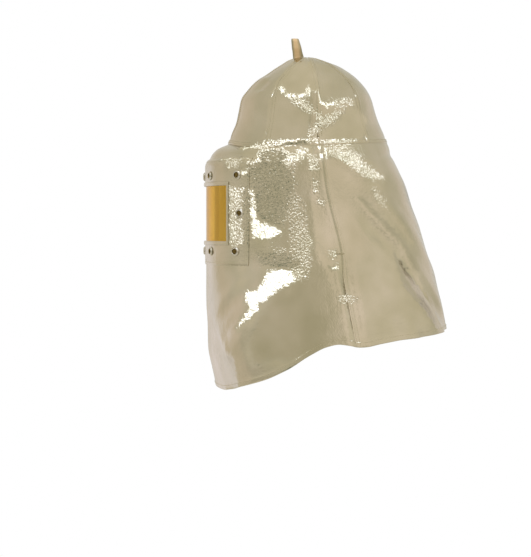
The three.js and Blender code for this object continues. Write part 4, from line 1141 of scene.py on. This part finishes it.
softbox("key_softbox", 60, 52, (0.85, 0.85), 13)
softbox("high_softbox", 140, 50, (0.85, 0.7), 9)

world = bpy.data.worlds.new("studio")
bpy.context.scene.world = world
world.use_nodes = True
sky = world.node_tree
sky.nodes.clear()
direction = add_node(sky, "ShaderNodeTexCoord")


def sky_patch(under, angle, rise, inner, outer, colour):
    """A soft-edged round patch of the studio, inner to outer degrees in radius, over the tone under it, which
    is a plain colour or other patches."""
    plain = isinstance(under, str)
    near = add_node(sky, "ShaderNodeVectorMath", [(0, direction.outputs["Generated"])], operation="DOT_PRODUCT",
                    inputs={1: towards(angle, rise)})
    share = add_node(sky, "ShaderNodeMapRange", [("Value", near.outputs["Value"])], interpolation_type="SMOOTHSTEP",
                     inputs={"From Min": math.cos(math.radians(outer)), "From Max": math.cos(math.radians(inner))})
    mix = add_node(sky, "ShaderNodeMix", [("Factor", share.outputs["Result"])] + ([] if plain else [(6, under)]),
                   data_type="RGBA", inputs={6: srgb(under), 7: srgb(colour)} if plain else {7: srgb(colour)})
    return mix.outputs[2]


tone = "#CCCBC7"
for patch in [
        (0, -90, 55, 98, "#A5A29A"), (0, 90, 15, 45, "#DCD9D2"), (-50, 0, 10, 55, "#D6CFCB"),
        (27, 19, 5, 20, "#D5D2CC"), (155, 19, 5, 22, "#DCD9D3"), (116, 22, 5, 28, "#E8E2E1"),
        (76, 20, 5, 22, "#C3C0B8"), (60, -14, 7, 15, "#3A584E"), (-58, -8, 8, 22, "#E6E3EE"),
        (-141, 6, 6, 22, "#DAD5D6")]:
    tone = sky_patch(tone, *patch)
glow = add_node(sky, "ShaderNodeBackground", [("Color", tone)], inputs={"Strength": GLOW})
# The camera itself sees white paper behind the hood.
plain = add_node(sky, "ShaderNodeBackground", inputs={"Color": srgb("#FFFFFF"), "Strength": 1.0})
seen = add_node(sky, "ShaderNodeLightPath")
both = add_node(sky, "ShaderNodeMixShader", [("Fac", seen.outputs["Is Camera Ray"]),
                                             (1, glow.outputs["Background"]), (2, plain.outputs["Background"])])
add_node(sky, "ShaderNodeOutputWorld", [("Surface", both.outputs["Shader"])])
bpy.context.scene.view_settings.view_transform = "Standard"

# The picture is 531 x 557, and a pixel is 1.6 mm at the aim: the sensor lies along the picture's long side.
AZIMUTH, ELEVATION, DISTANCE = 81.0, 1.5, 3.0
AIM_ASIDE, AIM_HEIGHT = -0.065, -0.3512
SENSOR, LONG_SIDE, PIXEL = 36, 557, 1.6
look = -Vector(towards(AZIMUTH, ELEVATION))
right = Vector((math.cos(math.radians(AZIMUTH)), math.sin(math.radians(AZIMUTH)), 0))
aim = right * AIM_ASIDE + Vector((0, 0, AIM_HEIGHT))
camera = placed("camera", bpy.data.cameras.new("camera"))
camera.location = aim - look * DISTANCE
camera.rotation_euler = look.to_track_quat("-Z", "Y").to_euler()
camera.data.sensor_width = SENSOR
camera.data.lens = SENSOR * DISTANCE / (LONG_SIDE * PIXEL * MM)
bpy.context.scene.camera = camera

bpy.context.view_layer.update()
